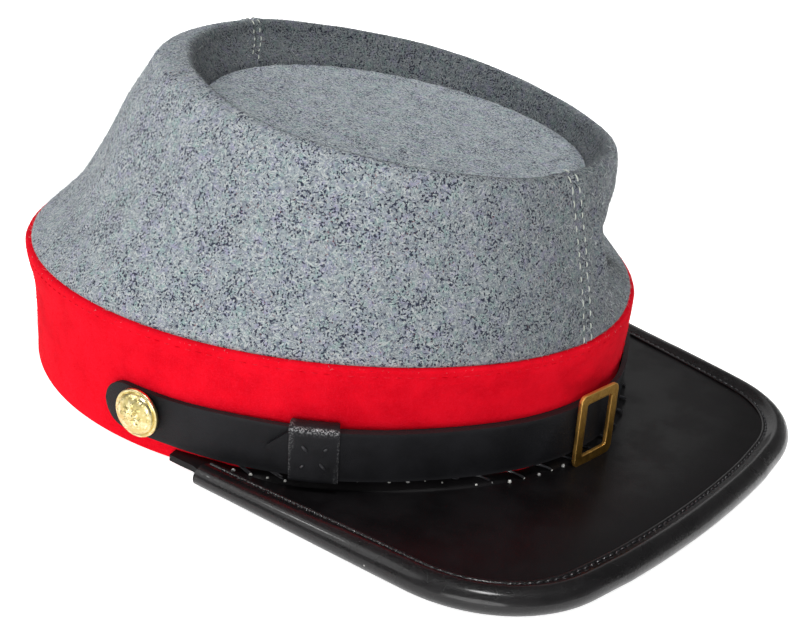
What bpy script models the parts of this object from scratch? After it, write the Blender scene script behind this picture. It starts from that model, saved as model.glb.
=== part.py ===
"""A kepi cap in Blender, in metres with +Z up.

The cap lies as it would on a table. Its front faces -Y and the wearer's left is +X. The origin is the
centre of the head opening, level with the band's lower edge, so z = 0 is what the cap rests on.
An angle round the cap is measured at the origin: 0 is the front and +90 degrees is the wearer's left.
"""

import math

import bmesh
import bpy
from mathutils import Matrix, Vector

MM = 0.001
CLEAR = 0.3 * MM  # between two pieces that meet
WELD = 0.001 * MM  # corners closer than this are one

# Band: a nearly round ring of red cloth over a stiff core
BAND_HALF_WIDTH = 98.2 * MM
BAND_HALF_LENGTH = 93.8 * MM
BAND_HEIGHT = 36.1 * MM
BAND_WALL = 3.0 * MM
BAND_FLARE = 1.6 * MM  # how far the top edge leans out
REAR_FLARE = 1.2 * MM  # how much more it leans out at the right rear
REAR_FLARE_ANGLE = -122.0
REAR_FLARE_SPREAD = 34.0
REAR_FLARE_START = 24.0 * MM  # height above which it leans
FRONT_PUSH = 3.0 * MM  # how far the peak pulls the band's lower front forward
FRONT_PUSH_SPREAD = 30.0
FRONT_PUSH_TOP = 32.0 * MM  # height at which the pull has faded out

# Crown: two cloth side panels that roll over a lip and drop to a sunken top
CLOTH = 2.0 * MM
LAP = 6.0 * MM  # cloth that hangs down inside the band
LIP_HALF_WIDTH = 65.1 * MM
LIP_HALF_LENGTH = 68.9 * MM
LIP_EGG = -0.077  # share by which its rear half is wider than its front half
LIP_FORWARD = 12.8 * MM
LIP_HEIGHT = 89.1 * MM
LIP_PITCH = math.radians(6.7)  # the rear of the lip is the higher end
TOP_HALF_WIDTH = 62.0 * MM
TOP_HALF_LENGTH = 57.9 * MM
TOP_FORWARD = 4.2 * MM  # further forward than the lip
TOP_DEPTH = 10.3 * MM  # below the lip's plane
TOP_SAG = 1.2 * MM
COLLAR = 3.0 * MM  # the panels' edge that stands round the top's edge
ROLL_INWARD = 2.6 * MM
ROLL_DROP = 3.4 * MM
SEAM_SHIFT = 3.0 * MM  # how far the front seam strays to the wearer's left at its foot

# The crown's side between band and lip: how far it stands out from a straight slope at three levels,
# and how far the rolled lip stands out from its crest.
BULGE_LEVELS = (0.22, 0.5, 0.78)  # shares of the way up from the band
BULGE_REACH = 0.28  # how far up or down a bulge fades out
SIDE_FORM = (
    # angle, low bulge, middle bulge, high bulge, lip roll (mm)
    (-180.0, 0.0, 0.5, 1.0, 5.0),
    (-150.0, -1.0, -0.5, 0.5, 7.0),
    (-118.0, -2.6, -2.2, -0.5, 7.0),
    (-90.0, -0.5, -0.5, 0.5, 5.0),
    (-45.0, 0.0, 0.0, 0.5, 3.2),
    (0.0, 0.0, 0.0, 0.5, 3.2),
    (13.0, -0.5, -1.0, 0.0, 2.8),
    (30.0, -6.5, -8.5, -2.5, 2.2),
    (58.0, -2.5, -3.0, -1.0, 2.4),
    (95.0, 0.5, 1.0, 1.0, 3.5),
    (140.0, 0.5, 0.5, 1.0, 4.5),
)
# Dents and folds pressed into the side: where, how wide, how tall and how deep (negative stands proud).
SIDE_FOLDS = (
    # angle, height (mm), spread (degrees), spread (mm), depth (mm)
    (22.0, 58.0, 8.0, 9.0, 3.0),
    (36.0, 43.0, 12.0, 6.0, -2.5),
    (-98.0, 66.0, 9.0, 22.0, 2.0),
    (-112.0, 70.0, 8.0, 24.0, -1.6),
)

# Peak: a flat leather crescent whose curved root butts against the band
PEAK_THICKNESS = 1.8 * MM
PEAK_ROOT_MIDDLE = 1.0 * MM  # height of the leather's middle at the root
PEAK_CORNER = (92.3 * MM, 47.7 * MM)  # sideways and forward: where the outer edge starts
PEAK_FRONT_CORNER = (74.0 * MM, 133.6 * MM)  # before it is rounded
PEAK_FRONT = 140.3 * MM
PEAK_CORNER_RADIUS = 35.5 * MM
PEAK_CORNER_ANGLE = 62.7  # where the outer edge meets the band
PEAK_TAIL_ANGLE = 68.6
PEAK_TAIL_WIDTH = (5.0 * MM, 3.0 * MM)
PEAK_TAIL_LIFT = (50.0, 64.0)  # angles between which the root rises to the outer edge's height
PEAK_RISEN_AT = 0.8  # share of the way out at which the leather has risen to the binding's height
PEAK_INTO_ROLL = 0.3 * MM  # how far the leather reaches past the roll's middle line

# Binding: leather rolled round the peak's outer edge
ROLL_OUT = 4.5 * MM
ROLL_HALF_HEIGHT = 3.6 * MM
ROLL_END_SCALE = 0.62  # it thins out towards the band
ROLL_TAPER_SHARE = 0.2
BINDING_LAP = 4.2 * MM  # how far it laps over the peak
BINDING_LAP_EDGE = 0.9 * MM  # its thickness there
BINDING_SLOT_END = 0.8 * MM  # past the roll's middle line

# Chin strap: two leather straps, each buttoned at one side, that overlap on the right front
STRAP_THICKNESS = 1.5 * MM
STRAP_WIDTH = 14.3 * MM
RIGHT_STRAP_HEIGHT = 12.4 * MM  # of its middle
LEFT_STRAP_HEIGHT = 13.0 * MM
STRAP_END_ANGLE = 82.2
RIGHT_STRAP_FRONT_ANGLE = 5.0
LEFT_STRAP_TIP_ANGLE = -52.6
LEFT_STRAP_TIP_LENGTH = 6.4 * MM
LEFT_STRAP_SETTLE = (9.0, 26.0)  # angles between which it comes down onto the band

# Keeper: a leather loop round both straps
KEEPER_ANGLE = -46.2
KEEPER_WIDTH = 11.0 * MM
KEEPER_THICKNESS = 1.0 * MM
KEEPER_HEADROOM = 0.3 * MM  # how far the loop stands above the straps
KEEPER_EASE = 14.0  # degrees either side over which the straps rise to make room for it

# Buckle: a flat brass frame that the straps pass behind
BUCKLE_SIZE = (18.6 * MM, 20.6 * MM)
BUCKLE_BAR = 3.0 * MM
BUCKLE_THICKNESS = 1.6 * MM
BUCKLE_CORNER = 1.8 * MM
BUCKLE_ANGLE = 2.9
BUCKLE_HEIGHT = 13.0 * MM
BUCKLE_LEAN = math.radians(9.0)
BUCKLE_TURN = math.radians(-6.0)
BUCKLE_SLANT = math.radians(2.5)

# Buttons: domed brass, on a post through strap and band
BUTTON_ANGLE = 73.9
BUTTON_HEIGHT = 12.6 * MM
BUTTON_RADIUS = 6.8 * MM
BUTTON_DOME = 3.4 * MM
BUTTON_POST = 1.5 * MM
BUTTON_PROFILE = (
    # radius share, height share of the dome
    (0.95, 0.0),
    (1.0, 0.12),
    (1.0, 0.26),
    (0.93, 0.38),
    (0.87, 0.34),
    (0.83, 0.5),
    (0.68, 0.72),
    (0.48, 0.87),
    (0.25, 0.97),
)

# How finely the shapes are cut
ROUND_STEPS = 60
PEAK_STEPS = 46
BUTTON_STEPS = 20
STRAP_STEP = 3.6  # degrees

WOOL_GREY = (0.19, 0.22, 0.26)
WOOL_RED = (0.62, 0.006, 0.02)
LEATHER_BLACK = (0.012, 0.011, 0.012)
BRASS = (0.62, 0.45, 0.16)
GILT = (0.78, 0.64, 0.32)


# ---------------------------------------------------------------- tools


def clear_scene():
    for thing in list(bpy.data.objects):
        bpy.data.objects.remove(thing, do_unlink=True)


def finish_material(name, colour, roughness, metallic=0.0):
    material = bpy.data.materials.get(name) or bpy.data.materials.new(name)
    material.use_nodes = True
    shader = material.node_tree.nodes["Principled BSDF"]
    shader.inputs["Base Color"].default_value = (*colour, 1.0)
    shader.inputs["Roughness"].default_value = roughness
    shader.inputs["Metallic"].default_value = metallic
    return material


def add_piece(name, bm, material, smooth_angle=40.0):
    """Makes the object of one finished piece from a closed bmesh."""
    bmesh.ops.remove_doubles(bm, verts=bm.verts, dist=WELD)
    bmesh.ops.recalc_face_normals(bm, faces=bm.faces)
    mesh = bpy.data.meshes.new(name)
    bm.to_mesh(mesh)
    bm.free()
    mesh.shade_smooth()
    mesh.set_sharp_from_angle(angle=math.radians(smooth_angle))
    mesh.materials.append(material)
    piece = bpy.data.objects.new(name, mesh)
    bpy.context.scene.collection.objects.link(piece)
    return piece


def grid_sheet(columns, rows, place):
    """A grid whose corner (column, row) is moved to place(column, row); sides that meet are welded."""
    bm = bmesh.new()
    bmesh.ops.create_grid(bm, x_segments=columns, y_segments=rows, size=0.5)
    for corner in bm.verts:
        column = round((corner.co.x + 0.5) * columns)
        row = round((corner.co.y + 0.5) * rows)
        corner.co = place(column, row)
    bmesh.ops.remove_doubles(bm, verts=bm.verts, dist=WELD)
    return bm


def fill_ends(bm):
    """Closes each open end with one face."""
    open_edges = [edge for edge in bm.edges if edge.is_boundary]
    bmesh.ops.holes_fill(bm, edges=open_edges, sides=0)


def ease(share):
    """0 to 1 with level ends."""
    share = min(max(share, 0.0), 1.0)
    return share * share * (3.0 - 2.0 * share)


def hump(angle, middle, spread):
    """A smooth bump of height 1 round an angle in degrees."""
    away = (angle - middle + 180.0) % 360.0 - 180.0
    return math.exp(-((away / spread) ** 2))


def from_table(table, angle, column):
    """A column's value at an angle, eased between the rows of a table that goes all the way round."""
    angle = (angle + 180.0) % 360.0 - 180.0
    for place, row in enumerate(table):
        after = table[(place + 1) % len(table)]
        span = (after[0] - row[0]) % 360.0
        along = (angle - row[0]) % 360.0
        if along < span:
            return row[column] + (after[column] - row[column]) * ease(along / span)
    return table[-1][column]


def outward(angle):
    """The level direction away from the origin at an angle."""
    turn = math.radians(angle)
    return Vector((math.sin(turn), -math.cos(turn), 0.0))


def sideways(angle):
    turn = math.radians(angle)
    return Vector((math.cos(turn), math.sin(turn), 0.0))


# ---------------------------------------------------------------- outlines


def oval(angle, half_width, half_length, egg=0.0):
    """A point of an oval that is wider behind by the share egg."""
    turn = math.radians(angle)
    behind = -math.cos(turn)
    return Vector((half_width * math.sin(turn) * (1.0 + egg * behind), half_length * behind, 0.0))


def band_stand(angle, height):
    """How far the band's outer face stands out from the oval of its lower edge."""
    lean = BAND_FLARE * ease(height / BAND_HEIGHT)
    rear = (height - REAR_FLARE_START) / (BAND_HEIGHT - REAR_FLARE_START)
    lean += REAR_FLARE * hump(angle, REAR_FLARE_ANGLE, REAR_FLARE_SPREAD) * ease(rear)
    push = FRONT_PUSH * hump(angle, 0.0, FRONT_PUSH_SPREAD)
    return lean + push * (1.0 - ease(height / FRONT_PUSH_TOP))


def band_point(angle, height, out=0.0):
    """A point out from the band's outer face by the distance out."""
    place = oval(angle, BAND_HALF_WIDTH, BAND_HALF_LENGTH)
    place += outward(angle) * (band_stand(angle, height) + out)
    place.z = height
    return place


def tilted_oval(angle, half_width, half_length, forward, depth):
    """A point of an oval that lies parallel to the crown's lip."""
    flat = oval(angle, half_width, half_length, LIP_EGG)
    flat += Vector((0.0, -forward, -depth))
    tilted = Matrix.Rotation(LIP_PITCH, 3, "X") @ flat
    return tilted + Vector((0.0, -LIP_FORWARD, LIP_HEIGHT))


def lip_crest(angle):
    return tilted_oval(angle, LIP_HALF_WIDTH, LIP_HALF_LENGTH, 0.0, 0.0)


def top_edge(angle, inward=0.0, depth=TOP_DEPTH):
    return tilted_oval(angle, TOP_HALF_WIDTH - inward, TOP_HALF_LENGTH - inward, TOP_FORWARD, depth)


# ---------------------------------------------------------------- crown


def side_relief(angle, height):
    """How far the folds press the side in at an angle and a height."""
    return sum(
        depth * MM * hump(angle, middle, across) * math.exp(-(((height / MM) - level) / tall) ** 2)
        for middle, level, across, tall, depth in SIDE_FOLDS
    )


def crown_side(angle, share):
    """The cloth's outer face between the band, share 0, and the lip's roll, share 1."""
    roll = from_table(SIDE_FORM, angle, 4) * MM
    foot = band_point(angle, BAND_HEIGHT, -CLEAR)
    foot.z += CLEAR
    shoulder = lip_crest(angle) + outward(angle) * roll - Vector((0.0, 0.0, ROLL_DROP))
    place = foot.lerp(shoulder, share)
    bulge = sum(
        from_table(SIDE_FORM, angle, column) * max(0.0, 1.0 - abs(share - level) / BULGE_REACH)
        for column, level in enumerate(BULGE_LEVELS, 1)
    )
    return place + outward(angle) * (bulge * MM - side_relief(angle, place.z))


def lip_roll(angle, turn):
    """The roll from its outer shoulder, turn 0, over the crest, 90, to the recess, 180."""
    roll = from_table(SIDE_FORM, angle, 4) * MM if turn < 90.0 else ROLL_INWARD
    swing = math.radians(turn)
    out = outward(angle) * (roll * math.cos(swing))
    return lip_crest(angle) + out - Vector((0.0, 0.0, ROLL_DROP * (1.0 - math.sin(swing))))


def crown_rows():
    """The cloth's outer face as rows from its hidden lower edge to its collar round the top."""
    inside = -BAND_WALL - CLEAR
    rows = [
        lambda angle: band_point(angle, BAND_HEIGHT - LAP, inside),
        lambda angle: band_point(angle, BAND_HEIGHT, inside) + Vector((0.0, 0.0, CLEAR)),
    ]
    for share in (0.0, 0.1, 0.24, 0.38, 0.52, 0.66, 0.8, 0.92):
        rows.append(lambda angle, share=share: crown_side(angle, share))
    for turn in (0.0, 30.0, 60.0, 90.0, 130.0, 180.0):
        rows.append(lambda angle, turn=turn: lip_roll(angle, turn))
    rows.append(lambda angle: lip_roll(angle, 180.0).lerp(top_edge(angle), 0.55))
    rows.append(lambda angle: top_edge(angle))
    rows.append(lambda angle: top_edge(angle) - Vector((0.0, 0.0, COLLAR)))
    return rows


def seam_plane(side):
    """The plane between the two panels, moved half a clearance to one side."""
    rise = LIP_HEIGHT - BAND_HEIGHT
    normal = Vector((rise, 0.0, SEAM_SHIFT)).normalized()
    foot = Vector((SEAM_SHIFT, 0.0, BAND_HEIGHT))
    return foot + normal * (side * CLEAR / 2.0), normal * side


def make_crown_sides(material):
    rows = crown_rows()
    whole = grid_sheet(
        ROUND_STEPS, len(rows) - 1, lambda column, row: rows[row](column * 360.0 / ROUND_STEPS)
    )
    bmesh.ops.solidify(whole, geom=whole.faces, thickness=CLOTH)
    for name, side in (("crown_side_right", -1.0), ("crown_side_left", 1.0)):
        panel = whole.copy()
        spot, normal = seam_plane(side)
        everything = [*panel.verts, *panel.edges, *panel.faces]
        bmesh.ops.bisect_plane(panel, geom=everything, plane_co=spot, plane_no=normal, clear_inner=True)
        fill_ends(panel)
        add_piece(name, panel, material)
    whole.free()


def make_crown_top(material):
    """The sunken top: an oval of cloth that sags a little, inside the panels' collar."""
    rings = 3

    def place(column, row):
        angle = column * 360.0 / ROUND_STEPS
        share = min(row, 2 * rings + 1 - row) / rings
        under = CLOTH if row > rings else 0.0
        edge = top_edge(angle, CLEAR, TOP_DEPTH + under)
        middle = tilted_oval(0.0, 0.0, 0.0, TOP_FORWARD, TOP_DEPTH + under)
        return middle.lerp(edge, share) - Vector((0.0, 0.0, TOP_SAG * (1.0 - share * share)))

    add_piece("crown_top", grid_sheet(ROUND_STEPS, 2 * rings + 1, place), material)


# ---------------------------------------------------------------- band


def make_band(material):
    outer = (0.0, 6.0, 13.0, 20.0, 27.0, 32.0, BAND_HEIGHT / MM)
    inner = (BAND_HEIGHT / MM, 29.0, 14.0, 0.0)
    rim = [(height * MM, 0.0) for height in outer] + [(height * MM, -BAND_WALL) for height in inner]

    def place(column, row):
        height, out = rim[row % len(rim)]
        return band_point(column * 360.0 / ROUND_STEPS, height, out)

    return add_piece("band", grid_sheet(ROUND_STEPS, len(rim), place), material)


# ---------------------------------------------------------------- peak


def rounded_corner(before, corner, after, radius, steps):
    """Points of the arc that rounds a corner between two straight runs."""
    back = (before - corner).normalized()
    ahead = (after - corner).normalized()
    half = back.angle(ahead) / 2.0
    centre = corner + (back + ahead).normalized() * (radius / math.sin(half))
    start = corner + back * (radius / math.tan(half)) - centre
    end = corner + ahead * (radius / math.tan(half)) - centre
    swing = start.angle(end)
    return [
        centre + (start * math.sin(swing * (1.0 - step)) + end * math.sin(swing * step)) / math.sin(swing)
        for step in (count / steps for count in range(steps + 1))
    ]


def peak_outline():
    """The middle of the rolled edge in plan, from the wearer's right to the left."""
    root = Vector((PEAK_CORNER[0], -PEAK_CORNER[1]))
    corner = Vector((PEAK_FRONT_CORNER[0], -PEAK_FRONT_CORNER[1]))
    bulge = PEAK_FRONT - PEAK_FRONT_CORNER[1]

    def front(share):
        return Vector((corner.x * share, -PEAK_FRONT + bulge * share * share))

    half = [front(step / 8.0) for step in range(5)]
    half += reversed(rounded_corner(root, corner, front(0.5), PEAK_CORNER_RADIUS, 10))
    half.append(root)
    return [Vector((-point.x, point.y)) for point in reversed(half[1:])] + half


def along(points, share):
    """The point at a share of a path's length, and the path's direction there."""
    steps = [(after - before).length for before, after in zip(points, points[1:])]
    left = share * sum(steps)
    for before, after, step in zip(points, points[1:], steps):
        if left <= step or after is points[-1]:
            direction = (after - before).normalized()
            return before + direction * left, direction
        left -= step


def roll_scale(share):
    """How full the binding's roll is at a share of the peak's outline."""
    from_end = min(share, 1.0 - share)
    return ROLL_END_SCALE + (1.0 - ROLL_END_SCALE) * ease(from_end / ROLL_TAPER_SHARE)


def peak_edge(share, out=0.0, rise=0.0):
    """A point of the binding's section: out from its middle line, and up from its middle height."""
    path = peak_outline()
    # The direction is averaged over a short stretch, so that the sections turn evenly round a corner.
    before, after = (along(path, min(max(share + step, 0.0), 1.0))[0] for step in (-0.008, 0.008))
    spot = along(path, share)[0]
    direction = (after - before).normalized()
    level = Vector((direction.y, -direction.x)) * out
    height = ROLL_HALF_HEIGHT * roll_scale(share) + rise
    return Vector((spot.x + level.x, spot.y + level.y, height))


def make_peak(material):
    """The leather crescent; its thin tails lie along the band."""
    across = 5
    tail_steps = 2
    columns = PEAK_STEPS + 2 * tail_steps
    tail = (PEAK_TAIL_ANGLE - PEAK_CORNER_ANGLE) / tail_steps

    def ends(column):
        """The root's point and the outer edge's point of one line across the peak."""
        count = column - tail_steps
        beyond = max(-count, count - PEAK_STEPS, 0)
        share = min(max(count / PEAK_STEPS, 0.0), 1.0)
        angle = (2.0 * share - 1.0) * PEAK_CORNER_ANGLE
        angle += math.copysign(beyond * tail, angle)
        root = band_point(angle, 0.0, CLEAR)
        first, last = PEAK_TAIL_LIFT
        lift = ease((abs(angle) - first) / (last - first))
        root.z = PEAK_ROOT_MIDDLE + (peak_edge(0.0).z - PEAK_ROOT_MIDDLE) * lift
        if not beyond:
            return root, peak_edge(share, PEAK_INTO_ROLL)
        wide, narrow = PEAK_TAIL_WIDTH
        edge = band_point(angle, 0.0, CLEAR + wide + (narrow - wide) * beyond / tail_steps)
        edge.z = root.z
        return root, edge

    def place(column, row):
        root, edge = ends(column)
        share = row / across
        spot = root.lerp(edge, share)
        spot.z = root.z + (edge.z - root.z) * ease(share / PEAK_RISEN_AT)
        return spot

    leather = grid_sheet(columns, across, place)
    bmesh.ops.solidify(leather, geom=leather.faces, thickness=PEAK_THICKNESS)
    # The sheet faces down, so its thickness has grown upwards.
    bmesh.ops.translate(leather, verts=leather.verts, vec=Vector((0.0, 0.0, -PEAK_THICKNESS / 2.0)))
    return add_piece("peak", leather, material)


def binding_section(scale):
    """The roll's section as (out, rise): a round outside, and a slot that takes the peak's edge."""
    slot = PEAK_THICKNESS / 2.0 + CLEAR
    lap_top = slot + BINDING_LAP_EDGE
    full = ROLL_HALF_HEIGHT * scale
    reach = ROLL_OUT * scale
    upper = [(-BINDING_LAP, slot), (-BINDING_LAP, lap_top)]
    upper.append((-BINDING_LAP * 0.5, min((lap_top + full) / 2.0 + 0.1 * full, full)))
    upper += [
        (reach * math.cos(math.radians(turn)), full * math.sin(math.radians(turn)))
        for turn in (90.0, 62.0, 32.0)
    ]
    lower = [(out, -rise) for out, rise in reversed(upper)]
    return [*upper, (reach, 0.0), *lower, (BINDING_SLOT_END, -slot), (BINDING_SLOT_END, slot)]


def make_binding(material):
    sections = len(binding_section(1.0))

    def place(column, row):
        share = column / PEAK_STEPS
        out, rise = binding_section(roll_scale(share))[row % sections]
        return peak_edge(share, out, rise)

    roll = grid_sheet(PEAK_STEPS, sections, place)
    fill_ends(roll)
    return add_piece("peak_binding", roll, material)


# ---------------------------------------------------------------- chin strap


def strap_rise(angle):
    """How far the straps stand off the band to make room for the keeper's hidden side."""
    return (KEEPER_THICKNESS + CLEAR) * hump(angle, KEEPER_ANGLE, KEEPER_EASE)


def keeper_stack(angle):
    """Distance from the band to the outer strap's outer face, where the straps overlap."""
    return strap_rise(angle) + 2.0 * (CLEAR + STRAP_THICKNESS)


def strap_stations(first, last, rounded_at):
    """(angle, half width) along a strap with a round end: the end's stations follow a half circle."""
    degrees = math.degrees(1.0 / BAND_HALF_WIDTH)
    half = STRAP_WIDTH / 2.0
    ends = [
        (half * (1.0 - math.cos(math.radians(turn))), half * math.sin(math.radians(turn)))
        for turn in (14.0, 34.0, 56.0, 78.0)
    ]
    inward = 1.0 if rounded_at == first else -1.0
    stations = [(rounded_at + inward * away * degrees, width) for away, width in ends]
    start = rounded_at + inward * half * degrees
    other = last if rounded_at == first else first
    steps = max(1, round(abs(other - start) / STRAP_STEP))
    stations += [(start + (other - start) * step / steps, half) for step in range(steps + 1)]
    return sorted(stations)


def strap_solid(stations, height, stand):
    """A strap through its stations; stand(angle) is its inner face's distance from the band."""

    def place(column, row):
        angle, half = stations[column]
        up = half if row % 4 in (0, 1) else -half
        out = stand(angle) + (STRAP_THICKNESS if row % 4 in (0, 3) else 0.0)
        return band_point(angle, height + up, out)

    strap = grid_sheet(len(stations) - 1, 4, place)
    fill_ends(strap)
    return strap


def cut_post_hole(piece, angle):
    """A hole for a button's post, cut by a plain round bar."""
    cutter = bpy.data.objects.get(f"post_hole_{angle:+.0f}")
    if cutter is None:
        bar = bmesh.new()
        length = 24.0 * MM
        bmesh.ops.create_cone(
            bar, cap_ends=True, segments=12, radius1=BUTTON_POST + CLEAR, radius2=BUTTON_POST + CLEAR,
            depth=length,
        )
        bmesh.ops.transform(bar, matrix=button_place(angle), verts=bar.verts)
        cutter = add_piece(f"post_hole_{angle:+.0f}", bar, finish_material("cutter", BRASS, 0.5))
        cutter.hide_render = True
        cutter.display_type = "WIRE"
    cut = piece.modifiers.new("post_hole", "BOOLEAN")
    cut.operation = "DIFFERENCE"
    cut.solver = "EXACT"
    cut.object = cutter


def make_straps(material):
    right = strap_stations(-STRAP_END_ANGLE, RIGHT_STRAP_FRONT_ANGLE, -STRAP_END_ANGLE)
    right_solid = strap_solid(right, RIGHT_STRAP_HEIGHT, lambda angle: CLEAR + strap_rise(angle))
    right_strap = add_piece("chin_strap_right", right_solid, material)
    cut_post_hole(right_strap, -BUTTON_ANGLE)

    degrees = math.degrees(1.0 / BAND_HALF_WIDTH)
    point_end = LEFT_STRAP_TIP_ANGLE + LEFT_STRAP_TIP_LENGTH * degrees
    left = strap_stations(point_end, STRAP_END_ANGLE, STRAP_END_ANGLE)
    left.insert(0, (LEFT_STRAP_TIP_ANGLE, 1.2 * MM))

    def left_stand(angle):
        over = CLEAR + strap_rise(angle) + STRAP_THICKNESS + CLEAR
        first, last = LEFT_STRAP_SETTLE
        return over + (CLEAR - over) * ease((angle - first) / (last - first))

    left_strap = add_piece("chin_strap_left", strap_solid(left, LEFT_STRAP_HEIGHT, left_stand), material)
    cut_post_hole(left_strap, BUTTON_ANGLE)


def make_keeper(material):
    """A flat loop of leather round both straps, its hidden side against the band."""
    low = min(RIGHT_STRAP_HEIGHT, LEFT_STRAP_HEIGHT) - STRAP_WIDTH / 2.0 - CLEAR
    high = max(RIGHT_STRAP_HEIGHT, LEFT_STRAP_HEIGHT) + STRAP_WIDTH / 2.0 + KEEPER_HEADROOM
    turn = math.degrees(KEEPER_WIDTH / BAND_HALF_WIDTH)
    columns = 4

    def place(column, row):
        angle = KEEPER_ANGLE + turn * (column / columns - 0.5)
        outer = (row // 4) % 2 == 0
        corner = row % 4 if outer else 3 - row % 4
        thick = KEEPER_THICKNESS if outer else 0.0
        front = corner in (0, 3)
        out = keeper_stack(angle) + CLEAR + thick if front else strap_rise(angle) - thick
        return band_point(angle, high + thick if corner in (0, 1) else low - thick, out)

    bm = bmesh.new()
    corners = [[bm.verts.new(place(column, row)) for row in range(8)] for column in range(columns + 1)]
    for before, after in zip(corners, corners[1:]):
        for first in (0, 4):
            for step in range(4):
                here, there = first + step, first + (step + 1) % 4
                bm.faces.new((before[here], before[there], after[there], after[here]))
    for end in (corners[0], corners[-1]):
        for step in range(4):
            here, there = step, (step + 1) % 4
            bm.faces.new((end[here], end[there], end[7 - there], end[7 - here]))
    return add_piece("strap_keeper", bm, material, 30.0)


# ---------------------------------------------------------------- metal


def frame_loop(width, height, radius, steps=4):
    """A rectangle with round corners as points in its own plane."""
    points = []
    for quarter, (side, up) in enumerate(((1, 1), (-1, 1), (-1, -1), (1, -1))):
        for step in range(steps + 1):
            turn = math.radians(90.0 * (quarter + step / steps))
            points.append((
                side * (width / 2.0 - radius) + radius * math.cos(turn),
                up * (height / 2.0 - radius) + radius * math.sin(turn),
            ))
    return points


def buckle_place():
    """The buckle's own axes: X along the strap, Y up and Z away from the cap."""
    facing = BUCKLE_ANGLE + math.degrees(BUCKLE_TURN)
    out = outward(facing)
    axes = Matrix((sideways(facing), Vector((0.0, 0.0, 1.0)), out)).transposed().to_4x4()
    axes = axes @ Matrix.Rotation(-BUCKLE_LEAN, 4, "X") @ Matrix.Rotation(BUCKLE_SLANT, 4, "Z")
    half_height = BUCKLE_SIZE[1] / 2.0
    half_width = BUCKLE_SIZE[0] / 2.0
    # The frame is flat and the strap is round, and the frame leans, so its middle stands off the strap.
    stand = keeper_stack(BUCKLE_ANGLE) + CLEAR + BUCKLE_THICKNESS / 2.0
    stand += half_height * math.sin(BUCKLE_LEAN) + half_width * abs(math.sin(BUCKLE_TURN)) * 0.5
    middle = band_point(BUCKLE_ANGLE, BUCKLE_HEIGHT, stand)
    return Matrix.Translation(middle) @ axes


def make_buckle(material):
    width, height = BUCKLE_SIZE
    outside = frame_loop(width, height, BUCKLE_CORNER)
    inside = frame_loop(width - 2.0 * BUCKLE_BAR, height - 2.0 * BUCKLE_BAR, BUCKLE_CORNER / 3.0)
    half = BUCKLE_THICKNESS / 2.0
    edge = 0.35 * MM  # the softened edges of the cast bars
    rim = ((outside, 0.0, -half), (outside, 0.0, half - edge), (outside, edge, half),
           (inside, -edge, half), (inside, 0.0, half - edge), (inside, 0.0, -half))

    def place(column, row):
        loop, inward, rise = rim[row % len(rim)]
        x, y = loop[column % len(loop)]
        shrink_x = 1.0 - inward / (width / 2.0)
        shrink_y = 1.0 - inward / (height / 2.0)
        return Vector((x * shrink_x, y * shrink_y, rise))

    frame = grid_sheet(len(outside), len(rim), place)
    bmesh.ops.transform(frame, matrix=buckle_place(), verts=frame.verts)
    return add_piece("buckle", frame, material)


def button_place(angle):
    """A button's own axes: Z away from the cap, with z = 0 on the band's outer face."""
    out = outward(angle)
    axes = Matrix((sideways(angle), Vector((0.0, 0.0, 1.0)), out)).transposed().to_4x4()
    return Matrix.Translation(band_point(angle, BUTTON_HEIGHT)) @ axes


def make_buttons(material):
    seat = STRAP_THICKNESS + 3.0 * CLEAR
    profile = [(0.0, -BAND_WALL), (BUTTON_POST, -BAND_WALL), (BUTTON_POST, seat)]
    profile += [(BUTTON_RADIUS * share, seat + BUTTON_DOME * rise) for share, rise in BUTTON_PROFILE]
    profile.append((0.0, seat + BUTTON_DOME))

    def place(column, row):
        turn = 2.0 * math.pi * column / BUTTON_STEPS
        radius, rise = profile[row]
        return Vector((radius * math.cos(turn), radius * math.sin(turn), rise))

    for name, angle in (("button_right", -BUTTON_ANGLE), ("button_left", BUTTON_ANGLE)):
        button = grid_sheet(BUTTON_STEPS, len(profile) - 1, place)
        bmesh.ops.transform(button, matrix=button_place(angle), verts=button.verts)
        add_piece(name, button, material, 30.0)


def main():
    clear_scene()
    grey = finish_material("grey wool", WOOL_GREY, 0.95)
    red = finish_material("red wool", WOOL_RED, 0.9)
    strap_leather = finish_material("strap leather", LEATHER_BLACK, 0.55)
    peak_leather = finish_material("peak leather", LEATHER_BLACK, 0.3)
    brass = finish_material("brass", BRASS, 0.35, 1.0)
    gilt = finish_material("gilt brass", GILT, 0.3, 1.0)
    make_crown_sides(grey)
    make_crown_top(grey)
    band = make_band(red)
    for angle in (-BUTTON_ANGLE, BUTTON_ANGLE):
        cut_post_hole(band, angle)
    make_peak(peak_leather)
    make_binding(peak_leather)
    make_straps(strap_leather)
    make_keeper(strap_leather)
    make_buckle(brass)
    make_buttons(gilt)


main()
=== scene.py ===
"""The looks of a kepi cap, laid out as a Blender add-on.

It has a wool crown, a red band, a leather peak, a chin strap and brass fittings.

Everything is in metres in the cap's own frame: +Z is up, the front faces -Y and the wearer's left is +X.
An angle round the cap is 0 at the front and +90 degrees at the wearer's left.
"""

import functools
import math
import random

import bmesh
import bpy
from bpy.props import FloatProperty, FloatVectorProperty, IntProperty, PointerProperty
from mathutils import Matrix, Vector, noise


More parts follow.
